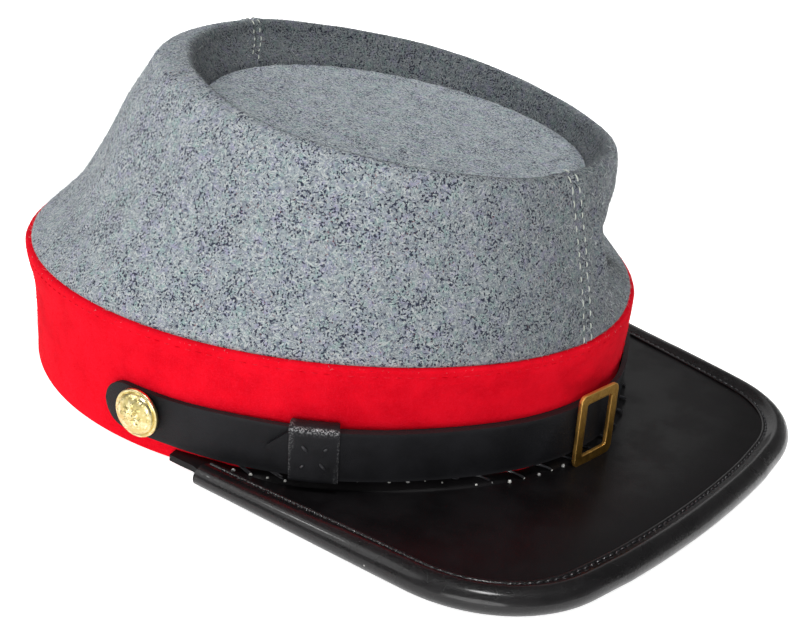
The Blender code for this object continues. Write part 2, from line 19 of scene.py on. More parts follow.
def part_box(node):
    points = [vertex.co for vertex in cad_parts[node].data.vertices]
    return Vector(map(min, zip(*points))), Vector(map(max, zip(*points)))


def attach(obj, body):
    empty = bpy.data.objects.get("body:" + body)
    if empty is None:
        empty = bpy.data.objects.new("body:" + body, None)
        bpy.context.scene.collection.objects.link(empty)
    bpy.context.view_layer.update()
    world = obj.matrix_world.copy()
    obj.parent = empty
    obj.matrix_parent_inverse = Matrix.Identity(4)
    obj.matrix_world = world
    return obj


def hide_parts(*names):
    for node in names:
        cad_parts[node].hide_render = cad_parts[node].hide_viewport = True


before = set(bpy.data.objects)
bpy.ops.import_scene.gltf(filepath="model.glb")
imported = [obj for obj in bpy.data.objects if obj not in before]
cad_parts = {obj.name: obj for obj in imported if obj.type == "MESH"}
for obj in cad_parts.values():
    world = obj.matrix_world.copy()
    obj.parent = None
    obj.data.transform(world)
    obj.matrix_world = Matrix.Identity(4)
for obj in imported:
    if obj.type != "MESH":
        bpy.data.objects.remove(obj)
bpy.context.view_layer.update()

bl_info = {
    "name": "Kepi Cap",
    "version": (1, 0, 0),
    "blender": (4, 5, 0),
    "location": "3D View > Sidebar > Kepi",
    "description": "Makes a wool kepi cap with a leather peak, a chin strap and brass fittings",
    "category": "Object",
}

MM = 0.001
WELD = 0.002 * MM  # corners closer than this are one

# Band
BAND_HALF_WIDTH = 98.2 * MM
BAND_HALF_LENGTH = 93.8 * MM
BAND_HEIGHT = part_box("band")[1].z
BAND_WALL = 3.0 * MM
BAND_FLARE = 1.6 * MM
BAND_FORM = (
    # angle, spread, heights where it starts and where it is whole (mm), how far the band stands out (mm)
    (-122.0, 34.0, 24.0, BAND_HEIGHT / MM, 1.9),
    (-3.0, 24.0, -2.0, -1.0, 2.2),
    (38.0, 22.0, 22.0, BAND_HEIGHT / MM, -0.8),
    (-93.0, 34.0, 24.0, 0.0, 0.9),
    (0.0, 30.0, 32.0, 0.0, 3.0),
)
BAND_EDGE_ROUND = 1.1 * MM  # of the folded cloth at its top and bottom edges
BAND_HEM = (2.1 * MM, 0.7 * MM, 0.2 * MM)  # its stitched dip: distance below the top edge, half width, depth
BAND_DOUBLED = (7.0 * MM, 1.5 * MM, 0.12 * MM)  # the cloth folded in at the top: width, fading, thickness
BAND_CALM = 5.0 * MM  # height below which its cloth lies even
BAND_CHAMFER = 0.4 * MM  # of its inner edges
BAND_WAVES = ((0.2 * MM, 55.0), (0.1 * MM, 170.0))  # height, how many to a metre

# Crown
CLOTH = 2.0 * MM
LAP = 6.0 * MM
LIP_HALF_WIDTH = 65.1 * MM
LIP_HALF_LENGTH = 68.9 * MM
LIP_EGG = -0.077
LIP_FORWARD = 12.8 * MM
LIP_HEIGHT = 89.1 * MM
LIP_PITCH = math.radians(6.7)
TOP_HALF_WIDTH = 62.0 * MM
TOP_HALF_LENGTH = 57.9 * MM
TOP_FORWARD = 4.2 * MM
TOP_DEPTH = 10.3 * MM
TOP_SAG = 1.2 * MM
TOP_GAP = 0.12 * MM  # between the top's edge and the side's collar
TOP_PUCKERS = (46.0, 0.16 * MM, 0.95, 0.04)  # how many, height, share of the radius they lie at, spread
TOP_RIM = (0.955, 0.045, 0.9 * MM)  # share of the radius where the edge turns down, its length, its depth
TOP_CALM = (0.9, 0.1, 0.8)  # share of the radius where the lumps fade, over what length, by how much
TOP_LUMPS = 0.9  # of the side's lumps
COLLAR = 3.0 * MM
ROLL_INWARD = 2.6 * MM
ROLL_DROP = 3.4 * MM
ROLL_START = 22.0  # degrees of the roll's turn at which the side runs into it
CREST_INWARD = 2.2 * MM  # how much further in the crest lies at the right rear, where the roll is widest
CREST_INWARD_ANGLE = -132.0
CREST_INWARD_SPREAD = 34.0
LIP_DIPS = ((-154.0, 26.0, 1.3 * MM), (68.0, 28.0, 1.7 * MM))  # angle, spread, how far the lip sags
CROWN_FOOT_IN = 0.9 * MM  # behind the band's outer face
BULGE_LEVELS = (0.22, 0.5, 0.78)
SIDE_FORM = (
    # angle, low bulge, middle bulge, high bulge, lip roll (mm)
    (-180.0, 0.0, 0.5, 1.0, 5.0),
    (-150.0, -1.6, -1.1, 0.4, 7.0),
    (-118.0, -5.9, -3.7, -0.8, 7.0),
    (-90.0, -0.5, -0.5, 0.5, 5.0),
    (-45.0, 0.0, -0.2, 0.1, 3.2),
    (-18.0, 0.0, -0.8, -0.8, 3.2),
    (2.0, 0.0, -0.7, -0.8, 3.2),
    (8.0, -0.4, -0.2, -0.2, 3.0),
    (13.0, -2.2, -4.6, -1.2, 2.8),
    (20.0, -6.8, -6.2, -1.6, 2.4),
    (30.0, -9.4, -6.6, -1.8, 2.2),
    (42.0, -9.8, -4.4, -1.6, 2.3),
    (58.0, -3.2, -3.0, -1.0, 2.4),
    (95.0, 0.5, 1.0, 1.0, 3.5),
    (140.0, 0.5, 0.5, 1.0, 4.5),
)
SIDE_FOLDS = (
    # angle, height (mm), lean (degrees), across (mm), along (mm), how far it stands out (mm)
    (22.0, 58.0, 0.0, 11.0, 9.0, -2.0),
    (19.5, 50.0, 12.0, 4.2, 8.0, -3.2),
    (-98.0, 66.0, 0.0, 13.5, 22.0, -1.6),
    (-112.0, 70.0, 0.0, 11.5, 24.0, 1.4),
    (11.3, 55.0, 4.0, 2.7, 10.0, -3.2),
    (6.8, 56.0, 3.0, 2.8, 11.0, 1.7),
    (-103.0, 72.0, 40.0, 4.2, 17.0, 1.1),
    (-115.0, 64.0, 25.0, 7.0, 16.0, -0.9),
    (-86.0, 47.0, 20.0, 5.0, 9.0, 0.6),
    (-60.0, 47.0, -30.0, 9.0, 12.0, 0.5),
    (-30.0, 60.0, 15.0, 9.0, 18.0, -0.5),
)
FOLD_SHADE = (41.0, 47.5 * MM, 7.5, 9.0 * MM, 0.95)  # painted shadow behind the left front's fold: angle, height, their spreads and how dark it is
RECESS_SHADE = 0.585  # painted shade: how much darker the cloth is made inside the recess
FRONT_SHADE = (6.0, 36.0, 0.5)  # angle, spread and how much darker the cloth looks there
TOP_SHADE = 1.3  # painted light: how much paler the sunken top is made
RECESS_FADE = (-1.2 * MM, 3.0 * MM)  # where the recess's painted shade starts, inward of the crest, and its fading
RECESS_REACH = 5.0 * MM  # how far below the sunken top's level it goes
SOFTNESS = (
    # size of the lumps (mm), how far they stand out (mm)
    (42.0, 0.5),
    (17.0, 0.26),
    (6.0, 0.09),
)

# The two seams, at places on the cloth's way: -1 its hidden edge, 0 the band, 1 the lip's outer
# shoulder, 2 the lip's inner side, 3 the sunken top's edge.
SEAM_PATH = (
    # way, front seam, rear seam (mm to the wearer's left of the middle)
    (-1.0, 0.4, 4.0),
    (0.0, 0.4, 4.0),
    (0.35, 0.5, 3.0),
    (0.6, 0.4, 2.0),
    (0.8, -0.5, 1.0),
    (1.0, -2.2, 0.0),
    (2.0, -4.6, -1.2),
    (3.0, -6.6, -9.6),
    (3.4, -6.8, -10.0),
)
# Along that way
LUMPS_START = 0.08
LUMPS_END = (2.6, 0.3)  # where they fade, and over what length
FOLDS_END = (1.0, 0.5)
RELIEF_START = 0.05
SEAM_VALLEY = (0.55 * MM, 0.8 * MM)  # depth and half width
SEAM_RIDGE = (0.35 * MM, 3.0 * MM, 2.0 * MM)  # where the turned-in cloth doubles: height, width, fading

# Peak and its binding
PEAK_THICKNESS = 1.8 * MM
PEAK_ROOT_MIDDLE = 1.0 * MM
PEAK_CORNER = (92.3 * MM, 47.7 * MM)
PEAK_FRONT_CORNER = (74.0 * MM, 133.6 * MM)
PEAK_FRONT = 140.3 * MM
PEAK_CORNER_RADIUS = 35.5 * MM
PEAK_CORNER_ANGLE = 62.7
PEAK_TAIL_ANGLE = 67.8
PEAK_TAIL_WIDTH = (5.0 * MM, 3.0 * MM)
PEAK_TAIL_LIFT = (50.0, 14.0)  # angle from which it rises to the roll's height, over what spread
PEAK_RISEN_AT = 0.8  # share of the way to the edge
PEAK_GAP = 0.2 * MM  # between root and band
PEAK_UNDER_ROLL = 0.5 * MM  # how far past the roll's middle line the leather goes
PEAK_WAVES = ((0.22 * MM, 22.0), (0.06 * MM, 90.0))  # height, how many to a metre
PEAK_CALM = (0.1, 0.85)  # shares of the way where they are whole and where they fade
ROOT_SEWN_ANGLE = 57.0
ROOT_TURN_UP = (2.2 * MM, 3.0 * MM, 51.0, 8.0)  # height, distance from the band, last angle, its fading
ROOT_DIP = (-12.0, 5.0, 0.6)  # angle, spread and share by which it is lower there
PEAK_LEFT_OUT = (0.66, 0.12, 0.04, 3.7 * MM)  # the fuller left edge: start, fading, end's fading, how far
ROLL_OUT = 4.2 * MM
ROLL_HALF_HEIGHT = 3.6 * MM
ROLL_END_SCALE = 0.76
ROLL_TAPER_SHARE = 0.2
BINDING_LAP = 4.2 * MM
BINDING_EDGE = 0.75 * MM
BINDING_GROOVE = (1.1 * MM, 0.32 * MM)  # behind the lap's edge, and its depth
LAP_EDGE = ((0.0, -0.25), (0.08, -0.08), (0.25, 0.0))  # in from the lap's edge, above its face (mm)
LAP_GROOVE = (
    # past the groove's middle (mm), share of its depth, above the lap's face (mm)
    (-0.45, 0.0, 0.03),
    (-0.2, 0.55, 0.0),
    (0.0, 1.0, 0.0),
    (0.22, 0.45, 0.0),
    (0.5, 0.0, 0.12),
)
BINDING_BOTTOM = 0.8 * MM  # how far past the middle line the slot for the peak goes
ROLL_WAVES = ((0.1 * MM, 75.0), (0.04 * MM, 260.0))  # height, how many to a metre
ROLL_CREASES = (900.0, 0.12 * MM, 0.05)  # near its ends: how close, height, share of its length

# Chin strap, keeper and metal
STRAP_THICKNESS = 1.5 * MM
STRAP_WIDTH = 14.3 * MM
RIGHT_STRAP_HEIGHT = 12.4 * MM
LEFT_STRAP_HEIGHT = 13.0 * MM
STRAP_END_ANGLE = 81.2
RIGHT_STRAP_FRONT_ANGLE = 5.0
LEFT_STRAP_TIP_ANGLE = -52.6
LEFT_STRAP_TIP_LENGTH = 6.4 * MM
LEFT_STRAP_SETTLE = (9.0, 17.0)  # angle from which it settles onto the band, and over what spread
STRAP_GAP = 0.3 * MM
STRAP_DROP = 0.2 * MM  # how far the straps lie below their solids
STRAP_REAR = (-55.0, 16.0, -0.1 * MM, 0.5 * MM)  # angle, spread behind it, rise and narrowing there
STRAP_BOW = 0.12 * MM  # how far its middle stands out over its edges
STRAP_SWAY = (0.15 * MM, 0.07)  # how far it wanders up and down, how many times in a degree
STRAP_EDGE_WEAR = 0.9 * MM  # how far its rubbed edges reach in
STRAP_END = (4.0, 82.0)  # degrees of the round end's turn at its first station, and from there to the last
STRAP_WAVES = ((0.06 * MM, 45.0), (0.025 * MM, 160.0))  # height, how many to a metre
STRAP_TIP_HALF = 1.2 * MM  # half width of the left strap's blunt tip
STATION_TURN = 0.75  # degrees between two stations of a strap
KEEPER_ANGLE = -45.7
KEEPER_WIDTH = 12.2 * MM
KEEPER_TILT = 1.4 * MM  # how much further to the rear its lower end lies
KEEPER_THICKNESS = 1.0 * MM
KEEPER_CORNER = 1.7 * MM
KEEPER_CRUMPLE = 0.14 * MM
KEEPER_FOOT_UP = 0.6 * MM  # how much higher its lower fold lies than the straps ask for
KEEPER_RUB_AND_PAINTED_SHINE = (0.4 * MM, 0.8 * MM, 0.3 * MM, 1.1 * MM)  # worn fold, made pale partly as painted shine: below its top, spread; behind its front, fading
KEEPER_EDGE_PAINTED_HIGHLIGHT = (0.5 * MM, 0.4 * MM, 0.2)  # painted highlight along its side edges: from them, fading, how much
KEEPER_HEADROOM = 0.3 * MM
KEEPER_EASE = 14.0
BUCKLE_SIZE = (17.4 * MM, 22.4 * MM)
BUCKLE_BAR = 3.0 * MM
BUCKLE_THICKNESS = 1.2 * MM
BUCKLE_CORNER = 2.2 * MM
BUCKLE_DENTS = ((0.06 * MM, 420.0), (0.05 * MM, 900.0))  # height, how many to a metre
BUCKLE_ANGLE = 1.1
BUCKLE_HEIGHT = 13.2 * MM
BUCKLE_LEAN = math.radians(4.0)
BUCKLE_TURN = math.radians(-4.2)
BUCKLE_SLANT = math.radians(2.2)
BUCKLE_RUB = (0.004 * MM, 0.02 * MM)  # how far behind its flat front it is rubbed bright, and the fading
BUTTON_ANGLE = 73.9
BUTTON_HEIGHT = 12.6 * MM
BUTTON_RADIUS = 6.8 * MM
BUTTON_DOME = 3.4 * MM
BUTTON_POST = 1.5 * MM
BUTTON_RIM = (
    # share of the radius, share of the dome's height
    (0.93, 0.0), (0.97, 0.03), (1.0, 0.12), (1.0, 0.26), (0.985, 0.33), (0.955, 0.37), (0.925, 0.375),
    (0.895, 0.35), (0.875, 0.33),
)
BUTTON_FACE = (0.86, 0.36, 2.3)  # where the dome starts, in the same shares, and how full it is
# Parts of the rosette, as shares of the button's radius and of the relief's height
ROSETTE_PETAL = (0.36, 0.2, 0.07)  # reach between two petals, more along a petal, softness of the tips
ROSETTE_VEIN = (0.02, 0.35)  # half width, depth
ROSETTE_BOSS = (0.17, 0.05, 1.15)  # radius, softness, height
ROSETTE_BEADS = (0.73, 0.05, 0.75, 5.0)  # radius, half width, height, how many to a petal
ROSETTE_GROUND = 0.4  # how much of the relief lies below the dome's plain face

# Stitches
SEAM_FIRST_WAY = 0.012
HEM_STITCHES = 205
HEM_STITCH_TURN = 1.05  # degrees from end to end
SEAM_THREAD = (0.17 * MM, 0.26 * MM)  # radius, how far it bows up
HEM_THREAD = (0.13 * MM, 0.1 * MM)
BINDING_THREAD = (0.27 * MM, 0.26 * MM)
KEEPER_THREAD = (0.34 * MM, 0.26 * MM)
ROOT_REACH = 0.7  # mm from the band to a strand's foot
ROOT_REACH_STEPS = (
    # angle, spread, how much further out (mm)
    (-30.0, 18.0, 2.3),
    (5.0, 12.0, 1.0),
    (-46.0, -6.0, 1.3),
)
ROOT_STRANDS = (0.0, 0.45, 0.9)  # mm by which each strand starts lower
ROOT_STRAND_TOP = 3.9  # mm above the peak's root
ROOT_TOP_TURN = (-2.2, 0.4)  # degrees from the stitch's middle, and more for each mm that it starts lower
ROOT_FOOT_TURN = (1.0, 0.5)
# The knots below are pale dots of thread that stand for glints: painted highlights.
ROOT_KNOTS_END = 3.0  # angle past which no knot shows
ROOT_KNOTS = ((-1.6, 1.0, 1.0), (1.1, 0.9, 0.55))  # turn from the threads, size, size nearer the front
ROOT_KNOTS_NEAR = -30.0  # angle from which they have that last size
KEEPER_STITCH_UP = 0.3 * MM
KEEPER_STITCH_ENDS = (3.1 * MM, 1.5 * MM, 2.2 * MM)  # from the X's middle: outer, inner end of each thread

# Loose fibres of the nap
NAP_SHARES = (0.45, 0.33, 0.22)  # pale, grey, navy
NAP_LEAN = (math.radians(58.0), math.radians(84.0))  # from upright
NAP_SIZES = (0.45, 1.3)  # shortest and longest, against the pattern
NAP_LOWEST = 3.0 * MM  # height above which it grows
EDGE_NAP_DEPTH = 0.7 * MM  # how far below the band's top edge the crown's fibres hang
CROWN_CORE = Vector((0.0, -0.011, 0.045))  # a place inside the crown, from which outer faces look away
RECESS_WALL = (0.0645, 0.076)  # its greatest radius and its lowest height

# Camera and lights
CAMERA_AZIMUTH = math.radians(-49.608)
CAMERA_ELEVATION = math.radians(23.453)
CAMERA_ROLL = math.radians(7.75)
CAMERA_TARGET = Vector((3.85 * MM, -24.81 * MM, 15.63 * MM))
CAMERA_DISTANCE = 330.0 * MM
LIGHT_CENTRE = Vector((0.0, 0.0, 0.04))
SUNS = (("key", -128.0, 43.0, 45.0), ("side", -50.0, 9.0, 40.0), ("top", -25.0, 77.0, 12.0))
# name, azimuth, elevation and apparent width of a sun; below, of a gloss light its power's share and size
GLOSS_LIGHTS = (("glint", -118.0, 47.0, 1.0, 0.09), ("sheen", 130.0, 23.0, 2.0, 0.85))

# How finely the shapes are cut
PANEL_COLUMNS = 240
SMOOTHING = (3, 0.4)  # rounds and strength
SEAM_CROWDING = 0.75  # how much closer the columns stand near the seams
SIDE_ROWS = 50
LIP_ROWS = 18
WALL_ROWS = 12
TOP_COLUMNS = 180
TOP_RINGS = 40
TOP_CROWDING = 1.35  # how much closer the rings stand near the edge
BAND_COLUMNS = 420
BAND_FACE_ROWS = 30
BAND_TURN_ROWS = 5
PEAK_COLUMNS = 200
PEAK_ROWS = 26
PEAK_CROWDING = 1.6  # how much closer the rows stand near the root
PEAK_TAIL_COLUMNS = 8
OUTLINE_POINTS = 40  # for each half of the front, each corner and each side
BINDING_COLUMNS = 300
BUTTON_COLUMNS = 96
STRAP_ROWS = 12
STRAP_END_STEPS = 11
STRAP_TIP_STEPS = 6
KEEPER_COLUMNS = 16
KEEPER_FLAT_STEPS = 14
KEEPER_FOLD_STEPS = 12
BUCKLE_ROWS = 4
BUTTON_ROWS = 34
STITCH_SIDES = 6
STITCH_RINGS = 7


# ---- settings


def colour_setting(name, default, description):
    return FloatVectorProperty(
        name=name, description=description, default=default, size=3, min=0.0, max=1.0, subtype="COLOR"
    )


def length_setting(name, default, description):
    return FloatProperty(
        name=name, description=description, default=default, min=0.0, soft_max=0.02, precision=5,
        subtype="DISTANCE", unit="LENGTH",
    )


def number_setting(name, default, description, low=0.0, **more):
    return FloatProperty(name=name, description=description, default=default, min=low, **more)


class KepiCloth(bpy.types.PropertyGroup):
    crown: colour_setting("Crown", (0.285, 0.32, 0.338), "Main shade of the crown's mixed wool")
    pale_fibre: colour_setting("Pale fibre", (0.56, 0.59, 0.58), "Undyed fibres in the crown's wool")
    dark_fibre: colour_setting("Dark fibre", (0.018, 0.021, 0.046), "Navy flecks in the crown's wool")
    rust_fibre: colour_setting("Rust fibre", (0.2, 0.035, 0.045), "A few dark red fibres in the crown")
    band: colour_setting("Band", (0.76, 0.0015, 0.011), "Shade of the band's red wool")
    fleck_size: length_setting("Fleck size", 0.6 * MM, "Width of a navy fleck")
    fleck_patch: length_setting("Fleck patch", 6.5 * MM, "Distance over which flecks crowd and thin out")
    fibre_width: length_setting("Fibre width", 0.42 * MM, "Width of a visible surface fibre")
    fibre_length: length_setting("Fibre length", 3.0 * MM, "Length of a visible surface fibre")
    softness: number_setting("Softness", 1.0, "Strength of the crown's soft lumps", max=3.0)
    nap_length: length_setting("Nap length", 1.5 * MM, "Length of the loose fibres of the nap")
    nap_thickness: length_setting("Nap thickness", 0.085 * MM, "Thickness of the nap's fibres")
    nap_density: number_setting("Nap density", 62.0, "Loose fibres on each square centimetre")


class KepiLeather(bpy.types.PropertyGroup):
    peak: colour_setting("Peak", (0.0068, 0.0062, 0.0068), "Shade of the peak's leather")
    strap: colour_setting("Strap", (0.0095, 0.0096, 0.0112), "Shade of the strap's leather")
    edge: colour_setting("Cut edge", (0.02, 0.02, 0.022), "Shade of the strap's cut edges")
    grain: length_setting("Grain", 0.42 * MM, "Size of the leather's grain")
    lint: colour_setting("Lint", (0.42, 0.42, 0.4), "Specks of lint on the leather")
    thread: colour_setting("Thread", (0.022, 0.022, 0.025), "Waxed black thread of the leather work")
    binding_stitch: length_setting("Binding stitch", 1.75 * MM, "Length of the binding's stitches")
    binding_pitch: length_setting("Binding pitch", 2.35 * MM, "Distance from one binding stitch to the next")
    root_pitch: length_setting("Root pitch", 9.2 * MM, "Distance between the peak's whip stitches")


class KepiMetal(bpy.types.PropertyGroup):
    buckle: colour_setting("Buckle", (0.42, 0.235, 0.05), "Shade of the buckle's aged brass")
    worn: colour_setting("Worn edge", (0.85, 0.5, 0.14), "Brass where the buckle is rubbed bright")
    button: colour_setting("Button", (0.86, 0.77, 0.45), "Shade of the buttons' pale brass")
    relief: length_setting("Relief", 0.38 * MM, "Height of the ornament on the buttons")
    petals: IntProperty(
        name="Petals", description="Petals of the rosette on the buttons", default=8, min=3, max=24
    )


class KepiSeams(bpy.types.PropertyGroup):
    thread: colour_setting("Seam thread", (0.55, 0.58, 0.52), "Pale thread of the crown's seams")
    stitch: length_setting("Stitch", 2.2 * MM, "Length of a seam stitch")
    pitch: length_setting("Pitch", 3.35 * MM, "Distance from one seam stitch to the next")
    row_gap: length_setting("Row gap", 3.1 * MM, "Distance between the two rows of stitches")


class KepiStage(bpy.types.PropertyGroup):
    floor: colour_setting("Floor", (0.95, 0.95, 0.95), "Shade of the floor")
    glow: number_setting("Glow", 0.6, "Light that the floor itself gives")
    key: number_setting("Key light", 0.9, "Strength of the main light")
    side: number_setting("Side light", 1.9, "Strength of the low light")
    top: number_setting("Top light", 1.15, "Strength of the light overhead")
    gloss: number_setting("Gloss light", 0.5, "Power of the small lights that only draw highlights")
    sky: number_setting("Sky", 0.12, "Strength of the light from all round")
    lens: number_setting(
        "Lens", 44.833, "Focal length for a sensor 36 mm wide", 1.0, subtype="DISTANCE_CAMERA"
    )


# ---- shape tools


def grid_sheet(columns, rows, place):
    """A grid whose corner (column, row) is moved to place(column, row); sides that meet are welded."""
    bm = bmesh.new()
    bmesh.ops.create_grid(bm, x_segments=columns, y_segments=rows, size=0.5)
    for corner in bm.verts:
        column = round((corner.co.x + 0.5) * columns)
        row = round((corner.co.y + 0.5) * rows)
        corner.co = place(column, row)
    bmesh.ops.remove_doubles(bm, verts=bm.verts, dist=WELD)
    return bm


def fill_ends(bm):
    open_edges = [edge for edge in bm.edges if edge.is_boundary]
    bmesh.ops.holes_fill(bm, edges=open_edges, sides=0)


def soften_edges(bm, width, segments=3, sharper_than=50.0):
    """Bevels every edge whose faces meet at more than an angle."""
    limit = math.radians(sharper_than)
    sharp = [edge for edge in bm.edges if len(edge.link_faces) == 2 and edge.calc_face_angle() > limit]
    bmesh.ops.bevel(
        bm, geom=sharp, offset=width, offset_type="OFFSET", segments=segments, profile=0.5,
        affect="EDGES", material=-1, clamp_overlap=True,
    )


def face_up(bm):
    """Turns a sheet over if it faces down."""
    if sum(face.normal.z for face in bm.faces) < 0.0:
        bmesh.ops.reverse_faces(bm, faces=bm.faces)


def take_mesh(name, bm):
    """The bmesh's shape as a mesh; the bmesh is used up."""
    mesh = bpy.data.meshes.new(name)
    bm.to_mesh(mesh)
    bm.free()
    return mesh


def place_object(name, data):
    made = bpy.data.objects.new(name, data)
    bpy.context.scene.collection.objects.link(made)
    return made


def mark_corners(bm, layer, value):
    """Stores a number at each corner, worked out from its place, for the material."""
    mark = bm.verts.layers.float.new(layer)
    for corner in bm.verts:
        corner[mark] = value(corner.co)


def add_piece(name, bm, material, replaces=(), smooth_angle=45.0, rejoin=True):
    """The finished piece: a mesh object at the origin that rides on the cap's body."""
    if rejoin:
        bmesh.ops.remove_doubles(bm, verts=bm.verts, dist=WELD)
        bmesh.ops.recalc_face_normals(bm, faces=bm.faces)
    mesh = take_mesh(name, bm)
    mesh.shade_smooth()
    mesh.set_sharp_from_angle(angle=math.radians(smooth_angle))
    mesh.materials.append(material)
    piece = place_object(name, mesh)
    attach(piece, "root")
    if replaces:
        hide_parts(*replaces)


def ease(share):
    share = min(max(share, 0.0), 1.0)
    return share * share * (3.0 - 2.0 * share)


def ramp(value, start, length):
    """0 up to the start, 1 past the length from there, and smooth between."""
    return ease((value - start) / length)


def bell(value, middle, spread):
    """1 at the middle, and falling off smoothly on either side of it."""
    return math.exp(-(((value - middle) / spread) ** 2))


def hump(angle, middle, spread):
    """The same for an angle, all the way round."""
    return bell((angle - middle + 180.0) % 360.0 - 180.0, 0.0, spread)


def waves(spot, heights):
    """Soft random waves, as (height, how many to a metre)."""
    return sum(high * noise.noise(spot * often) for high, often in heights)


def knot_slope(first, middle, last):
    """The slope at the middle one of three knots, level at a crest or a hollow."""
    into = (middle[1] - first[1]) / (middle[0] - first[0])
    out = (last[1] - middle[1]) / (last[0] - middle[0])
    return 0.0 if into * out <= 0.0 else 2.0 * into * out / (into + out)


def curve_through(knots, at):
    """The value at a place of a smooth curve through sorted (place, value) knots, without overshoot."""
    if at <= knots[0][0]:
        return knots[0][1]
    for index in range(1, len(knots)):
        left, right = knots[index - 1], knots[index]
        if at > right[0]:
            continue
        span = right[0] - left[0]
        start = knot_slope(knots[index - 2], left, right) if index > 1 else 0.0
        end = knot_slope(left, right, knots[index + 1]) if index + 1 < len(knots) else 0.0
        step = (at - left[0]) / span
        rest = 1.0 - step
        return (
            left[1] * rest * rest * (1.0 + 2.0 * step) + right[1] * step * step * (3.0 - 2.0 * step)
            + span * step * rest * (start * rest - end * step)
        )
    return knots[-1][1]


@functools.cache
def side_knots(column):
    """A column of the side's table, repeated so that it joins up all the way round."""
    return [(row[0] + turn, row[column]) for turn in (-360.0, 0.0, 360.0) for row in SIDE_FORM]


@functools.cache
def side_form(angle, column):
    return curve_through(side_knots(column), (angle + 180.0) % 360.0 - 180.0)


def outward(angle):
    turn = math.radians(angle)
    return Vector((math.sin(turn), -math.cos(turn), 0.0))


def sideways(angle):
    turn = math.radians(angle)
    return Vector((math.cos(turn), math.sin(turn), 0.0))


UP = Vector((0.0, 0.0, 1.0))


# ---- the cap's outlines


def oval(angle, half_width, half_length, egg=0.0):
    turn = math.radians(angle)
    behind = -math.cos(turn)
    return Vector((half_width * math.sin(turn) * (1.0 + egg * behind), half_length * behind, 0.0))


def band_stand(angle, height):
    """How far the band's outer face stands out from the oval of its lower edge."""
    lean = BAND_FLARE * ease(height / BAND_HEIGHT)
    for middle, spread, start, whole, out in BAND_FORM:
        lean += out * MM * hump(angle, middle, spread) * ramp(height / MM, start, whole - start)
    return lean


def band_point(angle, height, out=0.0):
    place = oval(angle, BAND_HALF_WIDTH, BAND_HALF_LENGTH)
    place += outward(angle) * (band_stand(angle, height) + out)
    place.z = height
    return place


def band_turn(run):
    """The angle that a short way along the band takes up."""
    return math.degrees(run / BAND_HALF_WIDTH)


def tilted_oval(angle, half_width, half_length, forward, depth):
    flat = oval(angle, half_width, half_length, LIP_EGG)
    flat += Vector((0.0, -forward, -depth))
    tilted = Matrix.Rotation(LIP_PITCH, 3, "X") @ flat
    return tilted + Vector((0.0, -LIP_FORWARD, LIP_HEIGHT))


def crest_inward(angle):
    return CREST_INWARD * hump(angle, CREST_INWARD_ANGLE, CREST_INWARD_SPREAD)


def lip_crest(angle):
    crest = tilted_oval(angle, LIP_HALF_WIDTH, LIP_HALF_LENGTH, 0.0, 0.0)
    sag = sum(depth * hump(angle, middle, spread) for middle, spread, depth in LIP_DIPS)
    return crest - outward(angle) * crest_inward(angle) - UP * sag


def top_edge(angle, inward=0.0, depth=TOP_DEPTH):
    return tilted_oval(angle, TOP_HALF_WIDTH - inward, TOP_HALF_LENGTH - inward, TOP_FORWARD, depth)


# ---- crown


def lip_roll(angle, turn):
    """The roll from its outer shoulder, turn 0, over the crest, 90, to the recess, 180."""
    outside = side_form(angle, 4) * MM + crest_inward(angle)
    roll = outside if turn < 90.0 else ROLL_INWARD
    swing = math.radians(turn)
    out = outward(angle) * (roll * math.cos(swing))
    return lip_crest(angle) + out - UP * (ROLL_DROP * (1.0 - math.sin(swing)))


def plain_side(angle, share):
    """The crown's side between band and lip with its broad bulges, without folds."""
    foot = band_point(angle, BAND_HEIGHT, -CROWN_FOOT_IN)
    place = foot.lerp(lip_roll(angle, ROLL_START), share)
    bulges = [(level, side_form(angle, column)) for column, level in enumerate(BULGE_LEVELS, 1)]
    knots = [(-0.2, 0.0), (0.0, 0.0), *bulges, (1.04, 0.0), (1.2, 0.0)]
    return place + outward(angle) * (curve_through(knots, share) * MM)


def plain_crown(angle, way):
    """The cloth's outer face at an angle and a place on its way, without folds."""
    if way < 0.0:
        return band_point(angle, BAND_HEIGHT + way * LAP, -BAND_WALL - STRAP_GAP)
    if way <= 1.0:
        return plain_side(angle, way)
    if way <= 2.0:
        return lip_roll(angle, ROLL_START + (180.0 - ROLL_START) * (way - 1.0))
    if way <= 3.0:
        return lip_roll(angle, 180.0).lerp(top_edge(angle), way - 2.0)
    return top_edge(angle) - UP * ((way - 3.0) * COLLAR / 0.4)


def cloth_facing(angle, way):
    """Roughly the direction in which the cloth's outer face looks."""
    turn = math.radians(180.0 * min(max(way - 1.0, 0.0), 1.0))
    return outward(angle) * math.cos(turn) + UP * math.sin(turn)


@functools.cache
def seam_angle(way, rear):
    """The angle at which the front or the rear seam crosses the cloth."""
    shift = curve_through([(row[0], row[2 if rear else 1]) for row in SEAM_PATH], way) * MM
    probe = 175.0 if rear else 5.0
    reach = plain_crown(probe, way).x / math.sin(math.radians(probe))
    turn = math.degrees(math.asin(shift / reach))
    return 180.0 - turn if rear else turn


def lumps(spot, amount=1.0):
    return amount * sum(
        high * MM * noise.noise(spot * (1.0 / (size * MM)) + Vector((size, 0.0, 0.0)))
        for size, high in SOFTNESS
    )


def folds(angle, spot):
    """How far the side's folds and dents stand out at a place."""
    total = 0.0
    reach = math.hypot(spot.x, spot.y) * math.radians(1.0) / MM  # mm for each degree
    for middle, level, lean, across, along, high in SIDE_FOLDS:
        beside = ((angle - middle + 180.0) % 360.0 - 180.0) * reach
        above = spot.z / MM - level
        slant = math.radians(lean)
        over = (beside * math.cos(slant) - above * math.sin(slant)) / across
        up = (above * math.cos(slant) + beside * math.sin(slant)) / along
        total += high * MM * math.exp(-over * over - up * up)
    return total


